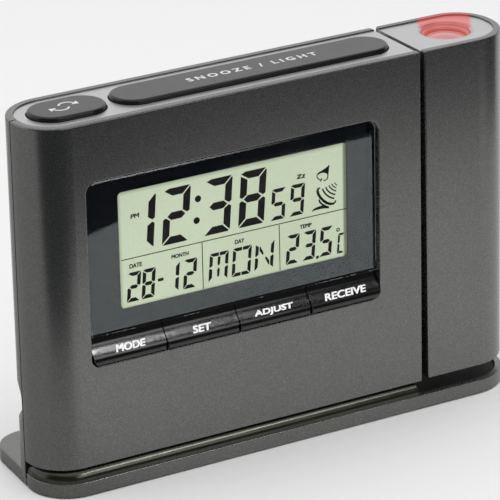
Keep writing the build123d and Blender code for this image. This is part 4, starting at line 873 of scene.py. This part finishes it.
# ---------------------------------------------------------------------------
# Floor, light and room
# ---------------------------------------------------------------------------
def flat_piece(name, corners, material, **seen):
    mesh = bpy.data.meshes.new(name)
    mesh.from_pydata(corners, [], [list(range(len(corners)))])
    mesh.materials.append(material)
    obj = bpy.data.objects.new(name, mesh)
    scene.collection.objects.link(obj)
    for key, value in seen.items():
        setattr(obj, "visible_" + key, value)
    return obj


g = Graph("pale_floor")
slow = g.noise(1.3, 2.0, 0.5)
floor_mat = g.done(g.principled(g.ramp(slow, [(0.3, (0.80, 0.80, 0.80)), (0.7, (0.82, 0.82, 0.82))]),
                                g.remap(slow, 0.3, 0.7, 0.75, 0.85), specular=0.15))
flat_piece("floor", [(-9, -9, 0), (9, -9, 0), (9, 9, 0), (-9, 9, 0)], floor_mat)

# painted dark reflection: a dark sheet on the floor in front of and beside the clock that only mirrors see
g = Graph("dark_card")
soft = g.noise(40.0, 2.0, 0.5)
card_mat = g.done(g.principled(g.ramp(soft, [(0.3, (0.012, 0.016, 0.022)), (0.7, (0.016, 0.020, 0.027))]), 0.9, specular=0.0))


card = [(-2.5, -0.9), (-2.5, -4.0), (2.5, -4.0), (2.5, 0.05), (0.29, 0.0), (0.248, -0.12), (0.215, -0.197), (0.09, -0.1972),
        (0.023, -0.1706), (-0.06, -0.135), (-0.15, -0.081), (-0.4, -0.13)]
flat_piece("dark_card", [(x, y, 0.0006) for x, y in card], card_mat,
           camera=False, diffuse=False, transmission=False, shadow=False, volume_scatter=False)

# the floor is dimmer in the mirror at the left
g = Graph("grey_card")
x, y, z = g.xyz()
shade = g.remap(x, -0.078, -0.030, 0.46, 0.81, True)
shade = g.math("MULTIPLY", shade, g.remap(g.noise(3.0, 2.0, 0.5), 0.3, 0.7, 0.98, 1.02))
comb = g.nt.nodes.new("ShaderNodeCombineColor")
for i in range(3):
    g.link(shade, comb.inputs[i])
grey_mat = g.done(g.principled(comb.outputs[0], 0.9, specular=0.0))
flat_piece("grey_card", [(-2.5, -1.2, 0.0004), (-0.025, -1.2, 0.0004), (-0.025, 2.5, 0.0004), (-2.5, 2.5, 0.0004)], grey_mat,
           camera=False, diffuse=False, transmission=False, shadow=False, volume_scatter=False)

# two soft boxes that only mirrors see: the high one draws the line along the front keys, the low one lights the rims
def softbox(name, middle, target, low, high, fall_low, fall_high, slant, end_low, end_high, strength, band=None):
    g = Graph(name)
    x, y, z = g.xyz()
    fall = g.math("MULTIPLY", g.remap(z, low, fall_low, 0.0, 1.0, True), g.remap(z, fall_high, high, 1.0, 0.0, True))
    u = g.math("SUBTRACT", x, g.math("MULTIPLY", z, slant))
    ends = g.math("MULTIPLY", g.remap(x, -0.34, -0.25, 0.0, 1.0, True), g.remap(u, end_low, end_high, 1.0, 0.0, True))
    if band:
        # flags keep the box off everything above a band of heights and let a part of it through below: the
        # height where the ray set out is the box's own point plus the way back along the ray
        path = g.nt.nodes.new("ShaderNodeLightPath")
        geo = g.nt.nodes.new("ShaderNodeNewGeometry")
        rise = g.math("MULTIPLY", g.xyz(geo.outputs["Incoming"])[2], path.outputs["Ray Length"])
        height = g.math("ADD", g.xyz(geo.outputs["Position"])[2], rise)
        flag = g.math("MULTIPLY", g.remap(height, band[0] - 0.0005, band[0], 0.42, 1.0, True),
                      g.remap(height, band[1], band[1] + 0.0005, 1.0, 0.0, True))
        ends = g.math("MULTIPLY", ends, flag)
    emit = g.nt.nodes.new("ShaderNodeEmission")
    g.link(g.math("MULTIPLY", g.math("MULTIPLY", fall, ends), strength), emit.inputs["Strength"])
    box = flat_piece(name, [(-0.34, 0, low), (0.34, 0, low), (0.34, 0, high), (-0.34, 0, high)], g.done(emit),
                     camera=False, diffuse=False, transmission=False, shadow=False, volume_scatter=False)
    aim = Vector(target) - Vector(middle)
    box.matrix_world = Matrix.Translation(Vector(middle)) @ aim.to_track_quat("Y", "Z").to_matrix().to_4x4()


softbox("high_softbox", (0.310, -0.356, 0.610), (-0.036, -0.017, 0.038), -0.034, 0.062, -0.010, 0.018, 0.76, 0.065, 0.130, 40.0,
        band=(0.0345, 0.0425))
softbox("low_softbox", (0.20, -0.602, 0.432), (0.0, -0.017, 0.036), -0.13, 0.17, -0.07, 0.02, 0.0, 0.10, 0.18, 2.8)


def area(name, place, target, size, size_y, watts, **seen):
    data = bpy.data.lights.new(name, "AREA")
    data.shape = "RECTANGLE"
    data.size, data.size_y = size, size_y
    data.energy = watts
    obj = bpy.data.objects.new(name, data)
    scene.collection.objects.link(obj)
    obj.location = place
    obj.rotation_euler = (Vector(target) - Vector(place)).to_track_quat("-Z", "Y").to_euler()
    for key, value in seen.items():
        setattr(obj, "visible_" + key, value)
    return obj


area("overhead_softbox", (-0.10, -0.10, 1.3), (0, 0, 0.03), 1.3, 1.0, 9.5, glossy=False, camera=False)

world = bpy.data.worlds.new("studio")
scene.world = world
world.use_nodes = True
world.cycles.sampling_method = "NONE"
wt = world.node_tree
wt.nodes.clear()
w_out = wt.nodes.new("ShaderNodeOutputWorld")
w_path = wt.nodes.new("ShaderNodeLightPath")
w_tex = wt.nodes.new("ShaderNodeTexCoord")
w_sep = wt.nodes.new("ShaderNodeSeparateXYZ")
wt.links.new(w_tex.outputs["Generated"], w_sep.inputs[0])


def w_range(v, a, b, c, d):
    n = wt.nodes.new("ShaderNodeMapRange")
    n.interpolation_type = "SMOOTHSTEP"
    wt.links.new(v, n.inputs["Value"])
    for key, val in zip(("From Min", "From Max", "To Min", "To Max"), (a, b, c, d)):
        n.inputs[key].default_value = val
    return n.outputs["Result"]


def w_math(op, a, b):
    n = wt.nodes.new("ShaderNodeMath")
    n.operation = op
    for s, v in zip(n.inputs, (a, b)):
        if isinstance(v, bpy.types.NodeSocket):
            wt.links.new(v, s)
        else:
            s.default_value = v
    return n.outputs[0]


# mirror rays: a bright wall behind the clock, a bright ceiling and a dim room in front
mirror = w_range(w_sep.outputs[1], -0.12, 0.22, 0.06, 1.0)
mirror = w_math("MAXIMUM", mirror, w_range(w_sep.outputs[2], 0.66, 0.90, 0.06, 1.0))
# soft rays: an even pale room; the camera sees it as the far floor
level = w_math("ADD", w_math("MULTIPLY", w_path.outputs["Is Glossy Ray"], mirror),
               w_math("MULTIPLY", w_math("SUBTRACT", 1.0, w_path.outputs["Is Glossy Ray"]), 0.72))
level = w_math("ADD", w_math("MULTIPLY", w_path.outputs["Is Camera Ray"], 0.90),
               w_math("MULTIPLY", w_math("SUBTRACT", 1.0, w_path.outputs["Is Camera Ray"]), level))
w_bg = wt.nodes.new("ShaderNodeBackground")
w_bg.inputs["Color"].default_value = (1.0, 1.0, 1.0, 1.0)
wt.links.new(level, w_bg.inputs["Strength"])
wt.links.new(w_bg.outputs[0], w_out.inputs["Surface"])

bpy.context.view_layer.update()
